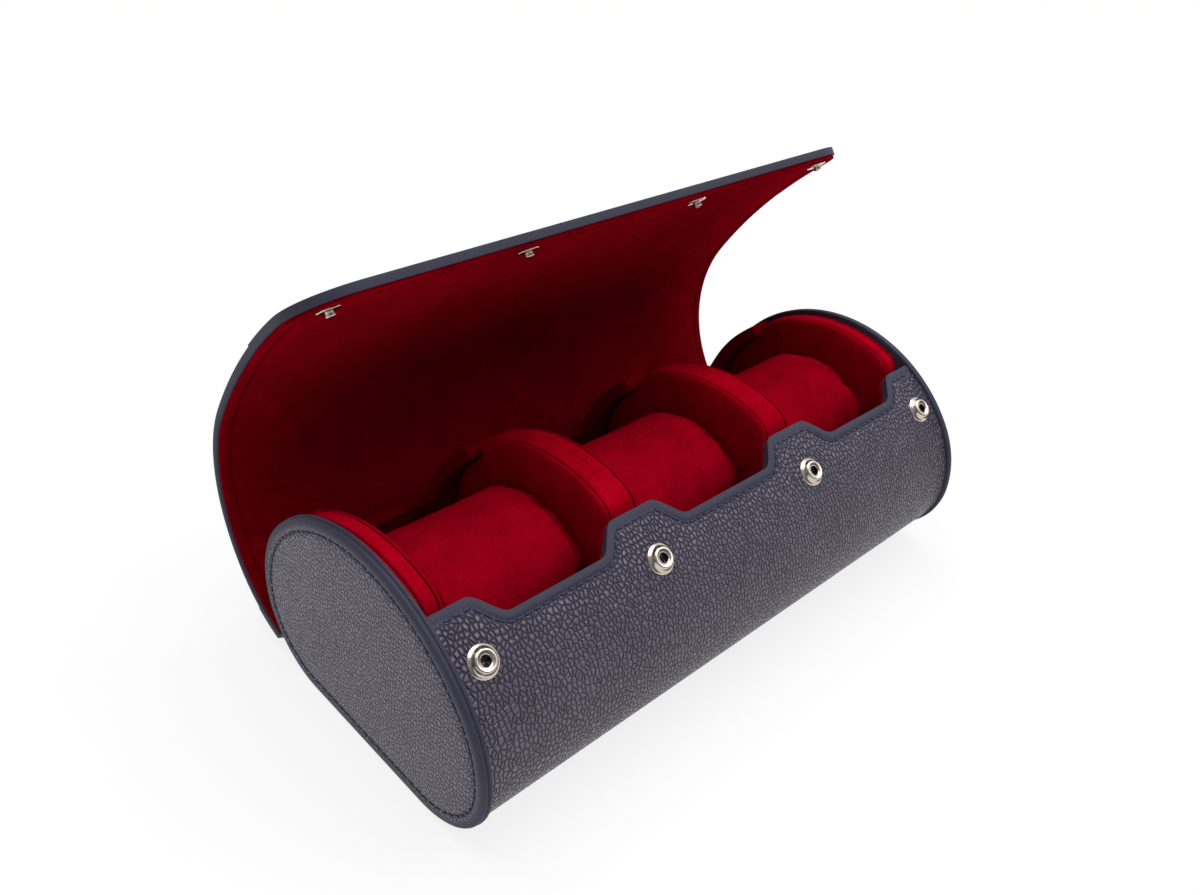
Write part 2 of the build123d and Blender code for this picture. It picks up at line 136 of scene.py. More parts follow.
def new_piece(name, mesh, material):
    """The finished mesh as an object in the scene."""
    data = bpy.data.meshes.new(name)
    mesh.to_mesh(data)
    mesh.free()
    piece = bpy.data.objects.new(name, data)
    bpy.context.scene.collection.objects.link(piece)
    data.materials.append(material)
    shade(data)
    return piece


def apply_modifiers(piece):
    """The modifiers' result becomes the piece's own mesh."""
    view = bpy.context.evaluated_depsgraph_get()
    data = bpy.data.meshes.new_from_object(piece.evaluated_get(view))
    piece.modifiers.clear()
    piece.data = data
    shade(data)
    return piece


def thicken(piece, thickness, rim, segments=4, cuts=()):
    """A sheet gets its thickness on its back and a round rim, which stays square at the cuts.

    A cut is a point and the direction of the plane through it; the edges counted as lying on it
    are those in that plane, near the point's height."""
    in_plane, near_height, corner_angle = 0.05 * MM, 4 * MM, radians(50)
    solid = piece.modifiers.new("thickness", "SOLIDIFY")
    solid.thickness, solid.offset, solid.use_even_offset = thickness * MM, -1, True
    apply_modifiers(piece)
    mesh = bmesh.new()
    mesh.from_mesh(piece.data)

    def on_a_cut(edge):
        return any(all(abs((v.co - point).dot(way)) < in_plane and abs(v.co.z - point.z) < near_height
                       for v in edge.verts) for point, way in cuts)

    corners = [e for e in mesh.edges if e.calc_face_angle(0.0) > corner_angle and not on_a_cut(e)]
    bmesh.ops.bevel(mesh, geom=corners, offset=rim * MM, offset_type="OFFSET", affect="EDGES",
                    segments=segments, profile=0.5, material=-1, clamp_overlap=True)
    mesh.to_mesh(piece.data)
    mesh.free()
    shade(piece.data)
    return piece


def mark(mesh, name, value_at):
    """A number on every corner of the mesh, from its place in millimetres."""
    layer = mesh.verts.layers.float.new(name)
    for vert in mesh.verts:
        vert[layer] = value_at(vert.co / MM)


def dip(distance, centre, width):
    """1 at the centre of a groove, falling to 0 beside it."""
    return exp(-((distance - centre) / width) ** 2)


def fade(distance, border, width):
    """1 inside a border, 0 beyond it, and a soft step between."""
    return 1 / (1 + exp((distance - border) / width))


print(f"sharp edges start at {degrees(SHARP_ANGLE):.0f} degrees")

# %% [markdown]
# ## Where things are on the section and on the lid
#
# A worker measures leather along its surface, not in x, y and z. The next functions do the same:
# they take a distance round the tray, or along the lid from its root, and give the point there. A
# curve object could carry the same line, but a function can be asked for any offset from it, which
# places the linings, the grooves and the stitches as well.

# %% Points on the section and the lid
def section_point(distance, step=RIM_STEP, depth=0.0):
    """(y, z) and the outward direction, that far round the case from the top, forwards.

    The outline lies step inside the discs' outline, and the point lies depth inside that."""
    corner_y = CASE_WIDTH / 2 - BASE_CORNER_RADIUS - step
    runs = [
        (0, CROWN_Z, CROWN_RADIUS - step, 90, 180 - CROWN_START),
        (-SHOULDER_Y, BASE_CORNER_RADIUS, SHOULDER_RADIUS - step, 180 - CROWN_START, 180),
        (-corner_y, BASE_CORNER_RADIUS, BASE_CORNER_RADIUS, 180, 270),
        (None, 0, 2 * corner_y, 0, 0),         # the flat base, by its length
        (corner_y, BASE_CORNER_RADIUS, BASE_CORNER_RADIUS, 270, 360),
        (SHOULDER_Y, BASE_CORNER_RADIUS, SHOULDER_RADIUS - step, 360, 360 + CROWN_START),
        (0, CROWN_Z, CROWN_RADIUS - step, 360 + CROWN_START, 450),
    ]
    for cy, cz, radius, low, high in runs:
        length = radius if cy is None else radius * radians(high - low)
        if distance <= length or high == 450:
            break
        distance -= length
    if cy is None:
        return -corner_y + distance, depth, 0.0, -1.0
    angle = radians(low) + distance / radius
    reach = radius - depth
    return cy + reach * cos(angle), cz + reach * sin(angle), cos(angle), sin(angle)


def section_length(step=RIM_STEP):
    """The way once round the case."""
    crown = (CROWN_RADIUS - step) * radians(90 - CROWN_START)
    arcs = crown + (SHOULDER_RADIUS - step) * radians(CROWN_START)
    corners = BASE_CORNER_RADIUS * pi + 2 * (CASE_WIDTH / 2 - BASE_CORNER_RADIUS - step)
    return 2 * arcs + corners


def crown_distance(angle):
    """The way from the top of the crown to a crown angle."""
    return (CROWN_RADIUS - RIM_STEP) * radians(90 - angle)


def lid_state(distance):
    """(y, z) and heading in degrees on the lid's middle surface, that far from its root."""
    root, corner = radians(-LID_ROOT_ANGLE), BASE_CORNER_RADIUS - LID_ROOT_INSET
    y = CASE_WIDTH / 2 - BASE_CORNER_RADIUS + corner * cos(root)
    z = BASE_CORNER_RADIUS + corner * sin(root)
    heading, left = radians(LID_START_ANGLE), distance
    for length, radius in LID_BENDS:
        run = min(left, length)
        turn = run / radius
        y += radius * (sin(heading + turn) - sin(heading))
        z -= radius * (cos(heading + turn) - cos(heading))
        heading += turn
        left -= run
        if left <= 0:
            break
    return y, z, degrees(heading)


def lid_point(x, distance, offset):
    """A point off the lid's middle surface; offset is towards its lining."""
    y, z, heading = lid_state(distance)
    return x, y - offset * sin(radians(heading)), z + offset * cos(radians(heading))


print(f"the way round the tray: {section_length():.1f} mm")

# %% [markdown]
# ## Shared surface effects
#
# Pebbled leather has small round cells with creases between them, pressed into the hide before it
# is cut. Suede has short fibres that lie one way here and another way there. Both could be
# photographs wrapped round the pieces. They are node groups instead, which give masks and heights
# at any size, and the material that uses one decides its colours. The pebbles are drawn on the
# flat hide, so that they keep their size round every bend.

# %% Node helpers
def effect_group(name, inputs, outputs):
    """An empty node group with float or vector inputs and float outputs."""
    group = bpy.data.node_groups.new(name, "ShaderNodeTree")
    for label, kind, value in inputs:
        socket = group.interface.new_socket(label, in_out="INPUT", socket_type=kind)
        if value is not None:
            socket.default_value = value
    for label in outputs:
        group.interface.new_socket(label, in_out="OUTPUT", socket_type="NodeSocketFloat")
    return group, group.nodes.new("NodeGroupInput"), group.nodes.new("NodeGroupOutput")


def node(tree, kind, values=(), **settings):
    """A node with its settings and its input values."""
    made = tree.nodes.new("ShaderNode" + kind)
    for key, value in settings.items():
        setattr(made, key, value)
    for key, value in dict(values).items():
        made.inputs[key].default_value = value
    return made


def math(tree, operation, first, second=None, third=None):
    """A math node on sockets or numbers; returns its output."""
    made = node(tree, "Math", operation=operation)
    for socket, value in zip(made.inputs, (first, second, third)):
        if value is None:
            continue
        if isinstance(value, (int, float)):
            socket.default_value = value
        else:
            tree.links.new(value, socket)
    return made.outputs[0]


def noise(tree, vector, scale, detail=3.0, roughness=0.55):
    """A noise texture's value, about 0.5."""
    made = node(tree, "TexNoise", {"Scale": scale, "Detail": detail, "Roughness": roughness})
    tree.links.new(vector, made.inputs["Vector"])
    return made.outputs[0]


def blend_of(tree, first, first_share, second, second_share):
    """A weighted sum of two values."""
    return math(tree, "ADD", math(tree, "MULTIPLY", first, first_share),
                math(tree, "MULTIPLY", second, second_share))


print("node helpers are ready")

# %% Pebbles and nap
CELL_STRETCH, CELL_RANDOMNESS = (1.2, 0.9, 1.0), 0.9
CELL_PUSH = 0.0006                 # metres that noise moves a cell's border
CREASE_SLOPE = 2.6                 # how soon a dome starts beside a crease
PORE_RELIEF = 0.08


def make_pebbles():
    """Pebbled leather on the flat hide: small round domes, creases between them and fine pores."""
    group, source, sink = effect_group(
        "pebbled leather", [("Vector", "NodeSocketVector", None), ("Scale", "NodeSocketFloat", 700.0)],
        ["Height", "Crease", "Mottle"])
    place, scale = source.outputs[:2]
    bend = node(group, "TexNoise", {"Scale": 300.0, "Detail": 1.0})
    centred = node(group, "VectorMath", {1: (0.5, 0.5, 0.5)}, operation="SUBTRACT")
    push = node(group, "VectorMath", {"Scale": CELL_PUSH}, operation="SCALE")
    warped = node(group, "VectorMath", {1: CELL_STRETCH}, operation="MULTIPLY_ADD")
    borders = node(group, "TexVoronoi", {"Randomness": CELL_RANDOMNESS},
                   feature="DISTANCE_TO_EDGE", voronoi_dimensions="2D")
    for start, end in ((place, bend.inputs["Vector"]), (bend.outputs["Color"], centred.inputs[0]),
                       (centred.outputs[0], push.inputs[0]), (place, warped.inputs[0]),
                       (push.outputs[0], warped.inputs[2]), (warped.outputs[0], borders.inputs["Vector"]),
                       (scale, borders.inputs["Scale"])):
        group.links.new(start, end)
    sloped = math(group, "MULTIPLY", borders.outputs["Distance"], CREASE_SLOPE)
    short = math(group, "SUBTRACT", 1.0, math(group, "MINIMUM", sloped, 1.0))
    steep = math(group, "MULTIPLY", short, short)
    dome = math(group, "SUBTRACT", 1.0, steep)
    pores = noise(group, place, 2400.0, 2.0)
    height = math(group, "ADD", dome, math(group, "MULTIPLY", pores, PORE_RELIEF))
    group.links.new(height, sink.inputs["Height"])
    group.links.new(math(group, "MULTIPLY", steep, short), sink.inputs["Crease"])
    group.links.new(noise(group, place, 60.0, 3.0), sink.inputs["Mottle"])
    return group


def make_nap():
    """Suede: short fibres, and broad patches where the nap lies another way."""
    group, source, sink = effect_group(
        "suede nap", [("Vector", "NodeSocketVector", None)], ["Height", "Patches", "Fibres"])

    def spots(scale, detail):
        return noise(group, source.outputs[0], scale, detail, 0.6)

    patches = blend_of(group, spots(38.0, 4.0), 0.6, spots(160.0, 3.0), 0.4)
    fibres = blend_of(group, spots(900.0, 2.0), 0.45, spots(2600.0, 2.0), 0.55)
    group.links.new(blend_of(group, fibres, 0.75, patches, 0.25), sink.inputs["Height"])
    group.links.new(patches, sink.inputs["Patches"])
    group.links.new(fibres, sink.inputs["Fibres"])
    return group


PEBBLES, NAP = make_pebbles(), make_nap()
print("effects:", [g.name for g in bpy.data.node_groups])

# %% [markdown]
# ## Materials
#
# The leather is a grey navy with a soft gloss on each pebble, and darker, flat and dull where a hem
# is pressed. Its creases are painted darker, which is painted shade. The suede is a deep red that
# turns lighter and darker with the nap. The lining's suede is darker as a whole, and the cushions'
# a little darker than the partitions', which is painted shade. One colour for each would be
# quicker, but skins are dyed unevenly, so a mask from the effect runs between two near colours.
# Relief comes from bump, as geometry for every pebble would be far too heavy.

# %% Material helpers
def start_material(name, roughness, metallic=0.0, coordinates="Object"):
    """A material with a Principled shader; returns it with its tree, shader and coordinates."""
    material = bpy.data.materials.new(name)
    material.use_nodes = True
    tree = material.node_tree
    shader = tree.nodes["Principled BSDF"]
    shader.inputs["Roughness"].default_value = roughness
    shader.inputs["Metallic"].default_value = metallic
    return material, tree, shader, tree.nodes.new("ShaderNodeTexCoord").outputs[coordinates]


def use_group(tree, group, vector, **values):
    """One of the shared effects, fed with coordinates."""
    made = tree.nodes.new("ShaderNodeGroup")
    made.node_tree = group
    tree.links.new(vector, made.inputs["Vector"])
    for key, value in values.items():
        made.inputs[key].default_value = value
    return made


def colour_between(tree, factor, low, high, start=0.0, stop=1.0):
    """A two-colour ramp driven by a mask."""
    ramp = tree.nodes.new("ShaderNodeValToRGB")
    ramp.color_ramp.elements[0].position, ramp.color_ramp.elements[1].position = start, stop
    ramp.color_ramp.elements[0].color, ramp.color_ramp.elements[1].color = (*low, 1), (*high, 1)
    tree.links.new(factor, ramp.inputs["Fac"])
    return ramp.outputs["Color"]


def add_bump(tree, shader, height, distance):
    """Relief from a height, that many millimetres deep."""
    bump = node(tree, "Bump", {"Distance": distance * MM})
    tree.links.new(height, bump.inputs["Height"])
    tree.links.new(bump.outputs["Normal"], shader.inputs["Normal"])


def marked(tree, name):
    """The number that a mesh carries under this name, 0 where it has none."""
    made = tree.nodes.new("ShaderNodeAttribute")
    made.attribute_name = name
    return made.outputs["Fac"]


def mix_colour(tree, factor, first, second):
    """A mask's way from one colour to another; the second is given as numbers."""
    made = tree.nodes.new("ShaderNodeMix")
    made.data_type = "RGBA"        # its colours A and B are inputs 6 and 7, its result output 2
    made.inputs[7].default_value = (*second, 1)
    tree.links.new(factor, made.inputs[0])
    tree.links.new(first, made.inputs[6])
    return made.outputs[2]


def set_inputs(shader, values):
    """Constants on a shader's sockets."""
    for name, value in values.items():
        shader.inputs[name].default_value = value


print("material helpers are ready")

# %% Leather, suede and plain materials
NAVY, LIGHT_NAVY = (0.080, 0.065, 0.112), (0.106, 0.086, 0.146)
# The crease colour darkens the creases between the pebbles: painted shade in the creases.
PRESSED_COLOUR, CREASE_SHADE_COLOUR = (0.008, 0.011, 0.032), (0.010, 0.009, 0.018)
LEATHER_ROUGHNESS, CREASE_DULLNESS, PRESSED_DULLNESS, LEATHER_SPECULAR = 0.27, 0.4, 0.45, 0.55
SUEDE_ROUGHNESS, SUEDE_RELIEF, SEAM_SHADE = 0.92, 0.35, 0.12
SUEDE_SHEEN = {"Specular IOR Level": 0.0, "Sheen Weight": 0.12, "Sheen Roughness": 0.5,
               "Sheen Tint": (1.0, 0.01, 0.04, 1)}


def leather_material(name, cells, relief, crease_shade_and_dullness):
    """Pebbled navy leather with cells of 1/cells metres, pressed smooth where it is marked."""
    material, tree, shader, place = start_material(name, LEATHER_ROUGHNESS, coordinates="UV")
    grain, pressed = use_group(tree, PEBBLES, place, Scale=cells), marked(tree, "pressed")
    open_grain = math(tree, "SUBTRACT", 1.0, pressed)
    base = colour_between(tree, grain.outputs["Mottle"], NAVY, LIGHT_NAVY, start=0.35, stop=0.65)
    base = mix_colour(tree, math(tree, "MULTIPLY", pressed, 0.8), base, PRESSED_COLOUR)
    crease = math(tree, "MULTIPLY", grain.outputs["Crease"], crease_shade_and_dullness)
    crease = math(tree, "MULTIPLY", crease, open_grain)
    # Painted shade: the creases are mixed towards a darker colour.
    tree.links.new(mix_colour(tree, crease, base, CREASE_SHADE_COLOUR), shader.inputs["Base Color"])
    dullness = blend_of(tree, crease, CREASE_DULLNESS, pressed, PRESSED_DULLNESS)
    tree.links.new(math(tree, "ADD", dullness, LEATHER_ROUGHNESS), shader.inputs["Roughness"])
    set_inputs(shader, {"Specular IOR Level": LEATHER_SPECULAR})
    add_bump(tree, shader, math(tree, "MULTIPLY", grain.outputs["Height"], open_grain), relief)
    return material


def suede_material(name, deep, bright):
    """Red suede between two colours, dark in its marked seams."""
    material, tree, shader, place = start_material(name, SUEDE_ROUGHNESS)
    nap = use_group(tree, NAP, place)
    mask = blend_of(tree, nap.outputs["Patches"], 0.5, nap.outputs["Fibres"], 0.5)
    base = colour_between(tree, mask, deep, bright, start=0.38, stop=0.62)
    base = mix_colour(tree, marked(tree, "seam"), base, tuple(c * SEAM_SHADE for c in deep))
    tree.links.new(base, shader.inputs["Base Color"])
    set_inputs(shader, SUEDE_SHEEN)
    add_bump(tree, shader, nap.outputs["Height"], SUEDE_RELIEF)
    return material


def plain_material(name, colour, roughness, metallic=0.0, grain=1800.0, relief=0.04):
    """A material of one colour with a little tone and relief from fine noise."""
    material, tree, shader, place = start_material(name, roughness, metallic)
    fine = noise(tree, place, grain)
    darker = tuple(c * 0.8 for c in colour)
    tone = colour_between(tree, fine, darker, colour, start=0.35, stop=0.65)
    tree.links.new(tone, shader.inputs["Base Color"])
    add_bump(tree, shader, fine, relief)
    return material


LEATHER = leather_material("pebbled leather", 620.0, 0.8, 1.0)
DISC_LEATHER = leather_material("pebbled leather, finer", 700.0, 0.42, 0.9)
# The lining's suede is about half as bright as the partitions': painted shade for the lid, back wall and tray
# lining.
SHADED_LINING_SUEDE = suede_material("red suede lining, darkened as painted shade", (0.11, 0.0002, 0.003), (0.25, 0.0004, 0.007))
PARTITION_SUEDE = suede_material(
    "red suede of the partitions", (0.23, 0.0002, 0.006), (0.50, 0.0005, 0.014))
# The cushions' suede is a little darker than the partitions': painted shade.
CUSHION_SUEDE = suede_material(
    "red suede of the cushions", (0.20, 0.0002, 0.006), (0.42, 0.0005, 0.013))
THREAD = plain_material("navy thread", (0.018, 0.028, 0.085), 0.6, grain=2600.0, relief=0.08)
RED_THREAD = plain_material("dark red thread", (0.13, 0.0004, 0.004), 0.9, grain=2600.0, relief=0.08)
set_inputs(RED_THREAD.node_tree.nodes["Principled BSDF"], {"Specular IOR Level": 0.0})
NICKEL = plain_material("nickel", (0.66, 0.58, 0.50), 0.20, 1.0, grain=900.0, relief=0.01)
BOARD = plain_material("grey board", (0.22, 0.19, 0.15), 0.9)
FOAM = plain_material("foam", (0.55, 0.50, 0.36), 0.95)
print("materials:", len(bpy.data.materials))

# %% [markdown]
# ## The castellated edges
#
# Both long edges of the tray rise into lobes in front of the dividers and at the ends. The lobes
# could be cut out of the wall with booleans, which leave ragged meshes. Here the edge is a line
# instead: a run of ramps, averaged over a short window that rounds each corner as a knife would.

# %% Edge of the tray
EDGE_SMOOTHING, EDGE_SAMPLES = 1.6, 5      # half the window, and the samples on each side in it
EDGE_SEARCH = 72.0                         # farther from the top than any valley
FLANK_REACH = 5.5


def edge_rise(x, path):
    """-1 in a valley, 1 on a lobe, rounded at the corners."""
    def sharp(at):
        at = abs(at)
        before = (0.0, -1)
        for here in path:
            if at < here[0]:
                share = (at - before[0]) / (here[0] - before[0])
                return before[1] + share * (here[1] - before[1])
            before = here
        return 1.0
    window = range(-EDGE_SAMPLES, EDGE_SAMPLES + 1)
    return sum(sharp(x + k * EDGE_SMOOTHING / EDGE_SAMPLES) for k in window) / len(window)


@cache
def edge_distance(x, edge):
    """How far from the top of the crown the wall ends at x, cut along a plane's own height."""
    valley, lobe, path = edge
    mid, reach = radians((valley + lobe) / 2), CROWN_RADIUS - RIM_STEP - WALL / 2
    wanted = edge_rise(x, path) * reach * sin(radians((lobe - valley) / 2))
    low, high = 0.0, EDGE_SEARCH
    for _ in range(24):
        way = (low + high) / 2
        y, z, _, _ = section_point(way)
        above = y * sin(mid) + (z - CROWN_Z) * cos(mid) > wanted
        low, high = (way, high) if above else (low, way)
    return low


def edge_columns(path, coarse, fine):
    """x of a grid's columns across the tray, closer together on the flanks of the lobes."""
    flanks = [(a[0] + b[0]) / 2 for a, b in zip(path, path[1:]) if a[1] != b[1]]
    found = [-TRAY_X]
    while found[-1] < TRAY_X:
        near = min(abs(abs(found[-1]) - flank) for flank in flanks) < FLANK_REACH
        found.append(min(found[-1] + (fine if near else coarse), TRAY_X))
    return found


def inset_edge(x, edge, inset):
    """How far from the top a line runs at x that keeps its distance inside the edge."""
    steps = [k * inset / 8 for k in range(-8, 9)]
    return max(edge_distance(x + s, edge) + sqrt(max(inset ** 2 - s ** 2, 0)) for s in steps)


def distance_to_edge(x, distance, samples):
    """How far a point of the sheet is from its own edge."""
    return min(hypot(x - ex, distance - ed) for ex, ed in samples)


FRONT_SAMPLES = [(x / 2, edge_distance(x / 2, FRONT_EDGE)) for x in range(-205, 206)]
depths = [distance for _, distance in FRONT_SAMPLES]
print(f"front edge between {min(depths):.1f} and {max(depths):.1f} mm from the top")

# %% [markdown]
# ## Stitches
#
# The case is sewn with thick thread. Between two holes the thread shows as a short plump capsule
# that lies half sunk in a groove. A picture of stitches would look flat from the side, and a curve
# with a bevel would be one long cord. So each stitch is a small stretched sphere, set along a line
# of points at an even pitch.

# %% Stitch rows
def even_points(points, pitch):
    """Points at even distances along a line, with the direction at each."""
    total = sum((b - a).length for a, b in zip(points, points[1:]))
    count = max(1, round(total / pitch))
    wanted, walked, found = [(k + 0.5) * total / count for k in range(count)], 0.0, []
    for a, b in zip(points, points[1:]):
        run = (b - a).length
        while wanted and run > 0 and wanted[0] <= walked + run:
            found.append((a.lerp(b, (wanted[0] - walked) / run), (b - a).normalized()))
            wanted.pop(0)
        walked += run
    return found


def add_stitches(mesh, points, normals_at, pitch, length, width):
    """Capsules along the points. normals_at gives the outward direction at a point."""
    for point, along in even_points(points, pitch):
        up = normals_at(point)
        side = up.cross(along).normalized()
        up = along.cross(side)
        turn = Matrix((along * length / 2, side * width / 2, up * width / 2)).transposed().to_4x4()
        place = Matrix.Translation(point * MM) @ turn @ Matrix.Rotation(pi / 2, 4, "Y")
        bmesh.ops.create_uvsphere(mesh, u_segments=8, v_segments=5, radius=MM, matrix=place)


ruler = [Vector((0, 0, 0)), Vector((100, 0, 0))]
print("stitches on 100 mm at a pitch of 3 mm:", len(even_points(ruler, 3.0)))

# %% [markdown]
# ## The tray's leather
#
# One sheet runs from the castellated front edge down the front, under the base and up to the
# line where the lid leaves the back corner. Leather and board could be two pieces, but nothing of
# the board shows, so one sheet is as thick as both. Its hem is pressed: the grain is flat there, a
# groove holds the stitches, and the very edge swells a little.

# %% Tray leather
ROOT_DISTANCE = (section_length() - crown_distance(CROWN_START)
                 - (SHOULDER_RADIUS - RIM_STEP) * radians(CROWN_START)
                 - BASE_CORNER_RADIUS * radians(LID_ROOT_ANGLE))
EDGE_ROWS, BODY_ROWS = 24, 54      # rows that follow the edge, and even rows below them
EDGE_ZONE = 40.0                   # where the first kind ends
HEM_WIDTH, EDGE_STITCH_INSET = 3.3, 2.9


def make_tray_leather():
    """The sheet with its hem; the edge is its first row."""
    xs = edge_columns(FRONT_EDGE[2], 0.9, 0.7)
    columns, rows = len(xs) - 1, EDGE_ROWS + BODY_ROWS

    def flat(i, j):
        if j > EDGE_ROWS:
            return -xs[i], EDGE_ZONE + (ROOT_DISTANCE - EDGE_ZONE) * (j - EDGE_ROWS) / BODY_ROWS
        start = edge_distance(-xs[i], FRONT_EDGE)
        return -xs[i], start + (EDGE_ZONE - start) * j / EDGE_ROWS

    def place(i, j):
        x, distance = flat(i, j)
        away = distance_to_edge(x, distance, FRONT_SAMPLES) if j < EDGE_ROWS else EDGE_ZONE
        groove, swelling = 0.42 * dip(away, EDGE_STITCH_INSET, 0.55), 0.16 * dip(away, 1.3, 0.9)
        y, z, _, _ = section_point(distance, depth=groove - swelling)
        return x, y, z

    def pressed(point):
        """Near the edge the grain is pressed flat."""
        from_top = (CROWN_RADIUS - RIM_STEP) * (pi / 2 - atan2(point.z - CROWN_Z, -point.y))
        if point.y > 0 or from_top > EDGE_ZONE + 5:
            return 0.0
        return fade(distance_to_edge(point.x, from_top, FRONT_SAMPLES), HEM_WIDTH, 0.35)

    mesh = mapped_mesh(columns, rows, place, flat)
    mark(mesh, "pressed", pressed)
    piece = new_piece("tray_leather", mesh, LEATHER)
    thicken(piece, thickness=3.1, rim=1.2)
    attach(piece, "case")
    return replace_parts(piece, "shell_leather", "shell_board")


def make_front_stitches():
    """One row that follows the lobes in the hem's groove."""
    mesh = bmesh.new()
    points = []
    for k in range(-495, 496):     # fifths of a millimetre along the tray
        y, z, _, _ = section_point(inset_edge(k / 5, FRONT_EDGE, EDGE_STITCH_INSET), depth=0.2)
        points.append(Vector((k / 5, y, z)))

    def outward(point):
        return Vector((0, point.y, point.z - CROWN_Z)).normalized()

    add_stitches(mesh, points, outward, pitch=2.9, length=2.5, width=0.72)
    piece = new_piece("front_edge_stitches", mesh, THREAD)
    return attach(piece, "case")


tray = make_tray_leather()
front_stitches = make_front_stitches()
print("tray leather:", len(tray.data.polygons), "faces; stitches:", len(front_stitches.data.polygons))

# %% [markdown]
# ## The back wall
#
# Behind the cushions the tray is red suede inside and out, with deeper valleys than in front. It
# is built like the front, as one sheet as thick as suede, board and suede. The same edge functions
# serve it, mirrored to the back, which keeps both walls on one section.

# %% Back wall
BACK_WALL_FOOT = 14.0              # degrees of the corner's arc from the lid's root to its foot


def make_back_wall():
    """One sheet whose rows lie closer together at the castellated edge."""
    xs = edge_columns(BACK_EDGE[2], 1.2, 0.3)
    columns, rows = len(xs) - 1, 48
    low = section_length() - ROOT_DISTANCE - BASE_CORNER_RADIUS * radians(BACK_WALL_FOOT)

    def place(i, j):
        start = edge_distance(xs[i], BACK_EDGE)
        y, z, _, _ = section_point(start + (low - start) * (j / rows) ** 1.2)
        return xs[i], -y, z

    piece = new_piece("back_wall_suede", mapped_mesh(columns, rows, place), SHADED_LINING_SUEDE)
    thicken(piece, thickness=WALL, rim=1.5)
    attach(piece, "case")
    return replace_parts(piece, "back_wall_facing", "back_wall_board", "back_wall_lining")


back_wall = make_back_wall()
print("back wall:", len(back_wall.data.polygons), "faces")

# %% [markdown]
# ## End discs
#
# Each disc is leather wrapped over a board. Its rim is a double roll, and a line of stitches sits
# in a shallow groove four millimetres inside it. A plain plate with bevels could stand for it, but
# the roll and the groove would need more cuts. Here one profile holds them all: it runs from the
# centre of the hidden face over the rim to the centre of the outer face, and each of its points is
# a ring of the outline. Deep rings shrink to the centre, because an offset would fold over itself.

# %% End discs
CENTRE_INSET = 60.0                # at this inset a ring is the centre point
DISC_CENTRE, DEEPEST_OFFSET = (0.0, 32.0), 20.0
DISC_STITCH_INSET, DISC_HEM = 4.0, 2.6
DISC_PROFILE = [                   # (inside the outline, out along X)
    (CENTRE_INSET, 0.0), (30.0, 0.0), (15.0, 0.0), (5.0, 0.0), (0.9, 0.0), (0.35, 0.1), (0.05, 0.4),
    (0.0, 0.8), (0.12, 1.15), (0.42, 1.32), (0.34, 1.5), (0.2, 1.75), (0.2, 2.1), (0.4, 2.5),
    (0.8, 2.8), (1.4, 3.0), (2.2, 3.05), (3.0, 2.98), (3.5, 2.82), (3.85, 2.66),
    (DISC_STITCH_INSET, 2.62), (4.15, 2.66), (4.5, 2.82), (5.2, 3.0), (6.5, 3.12), (9.0, 3.18),
    (12.0, 3.2), (16.0, 3.22), (20.0, 3.24), (26.0, 3.25), (34.0, 3.25), (44.0, 3.25),
    (CENTRE_INSET, 3.25),
]


def pulled_in(y, z, inside, deepest):
    """The point of a ring, which shrinks to the centre where it lies deeper than the deepest."""
    if inside <= deepest:
        return y, z
    share = (CENTRE_INSET - inside) / (CENTRE_INSET - deepest)
    return DISC_CENTRE[0] + (y - DISC_CENTRE[0]) * share, DISC_CENTRE[1] + (z - DISC_CENTRE[1]) * share


def ring_point(turn, inside):
    """A point on the discs' outline, moved inwards."""
    y, z, _, _ = section_point(turn * section_length(0.0), 0.0, min(inside, DEEPEST_OFFSET))
    return pulled_in(y, z, inside, DEEPEST_OFFSET)


def make_disc(name, side):
    """A disc and its ring of stitches, on one side of the case."""
    columns, rows = 200, len(DISC_PROFILE) - 1

    def place(i, j):
        inside, out = DISC_PROFILE[j]
        y, z = ring_point((i % columns) / columns, inside)
        return side * (TRAY_X + out), y, z

    mesh = mapped_mesh(columns, rows, place, lambda i, j: place(i, j)[1:])
    bmesh.ops.recalc_face_normals(mesh, faces=mesh.faces)
    outline = [ring_point(k / 300, 0.0) for k in range(300)]

    def pressed(point):
        """The wrapped rim has no grain."""
        return fade(min(hypot(point.y - y, point.z - z) for y, z in outline), DISC_HEM, 0.3)

    mark(mesh, "pressed", pressed)
    piece = new_piece(f"end_disc_{name}", mesh, DISC_LEATHER)
    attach(piece, "case")
    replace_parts(piece, "end_disc_leather_" + name, "end_disc_board_" + name)

    stitches = bmesh.new()
    ring = [ring_point(k / 400, DISC_STITCH_INSET) for k in range(401)]
    points = [Vector((side * (TRAY_X + 2.8), y, z)) for y, z in ring]
    add_stitches(stitches, points, lambda p: Vector((side, 0, 0)), pitch=3.0, length=2.5, width=0.6)
    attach(new_piece(f"end_disc_stitches_{name}", stitches, THREAD), "case")
    return piece


discs = [make_disc("left", -1), make_disc("right", 1)]
print("discs:", [len(d.data.polygons) for d in discs])

# %% [markdown]
# ## Padded partitions
#
# An end pad stands against each disc and two dividers part the slots. They are foam under suede,
# with a band round the edge between two seams. Their outline lies inside the lining up to the
# lobes and rises to the discs' level above them. They could be inflated as cloth, but they are
# firm and flat, so a profile across their thickness is closer to the real ones and always fits.

# %% Partitions
LOBE_OVERLAP = 0.2
FRONT_STEP, BACK_STEP = (crown_distance(edge[1]) - LOBE_OVERLAP for edge in (FRONT_EDGE, BACK_EDGE))
RAISED_DEPTH, SUNK_DEPTH, STEP_LENGTH = 0.5, WALL + 0.15, 2.4
PARTITION_OFFSET = DEEPEST_OFFSET - 4
SEAM_INSET, WIDE_BAND = 1.5, 9.0           # a wider band gets a row of its own in the middle


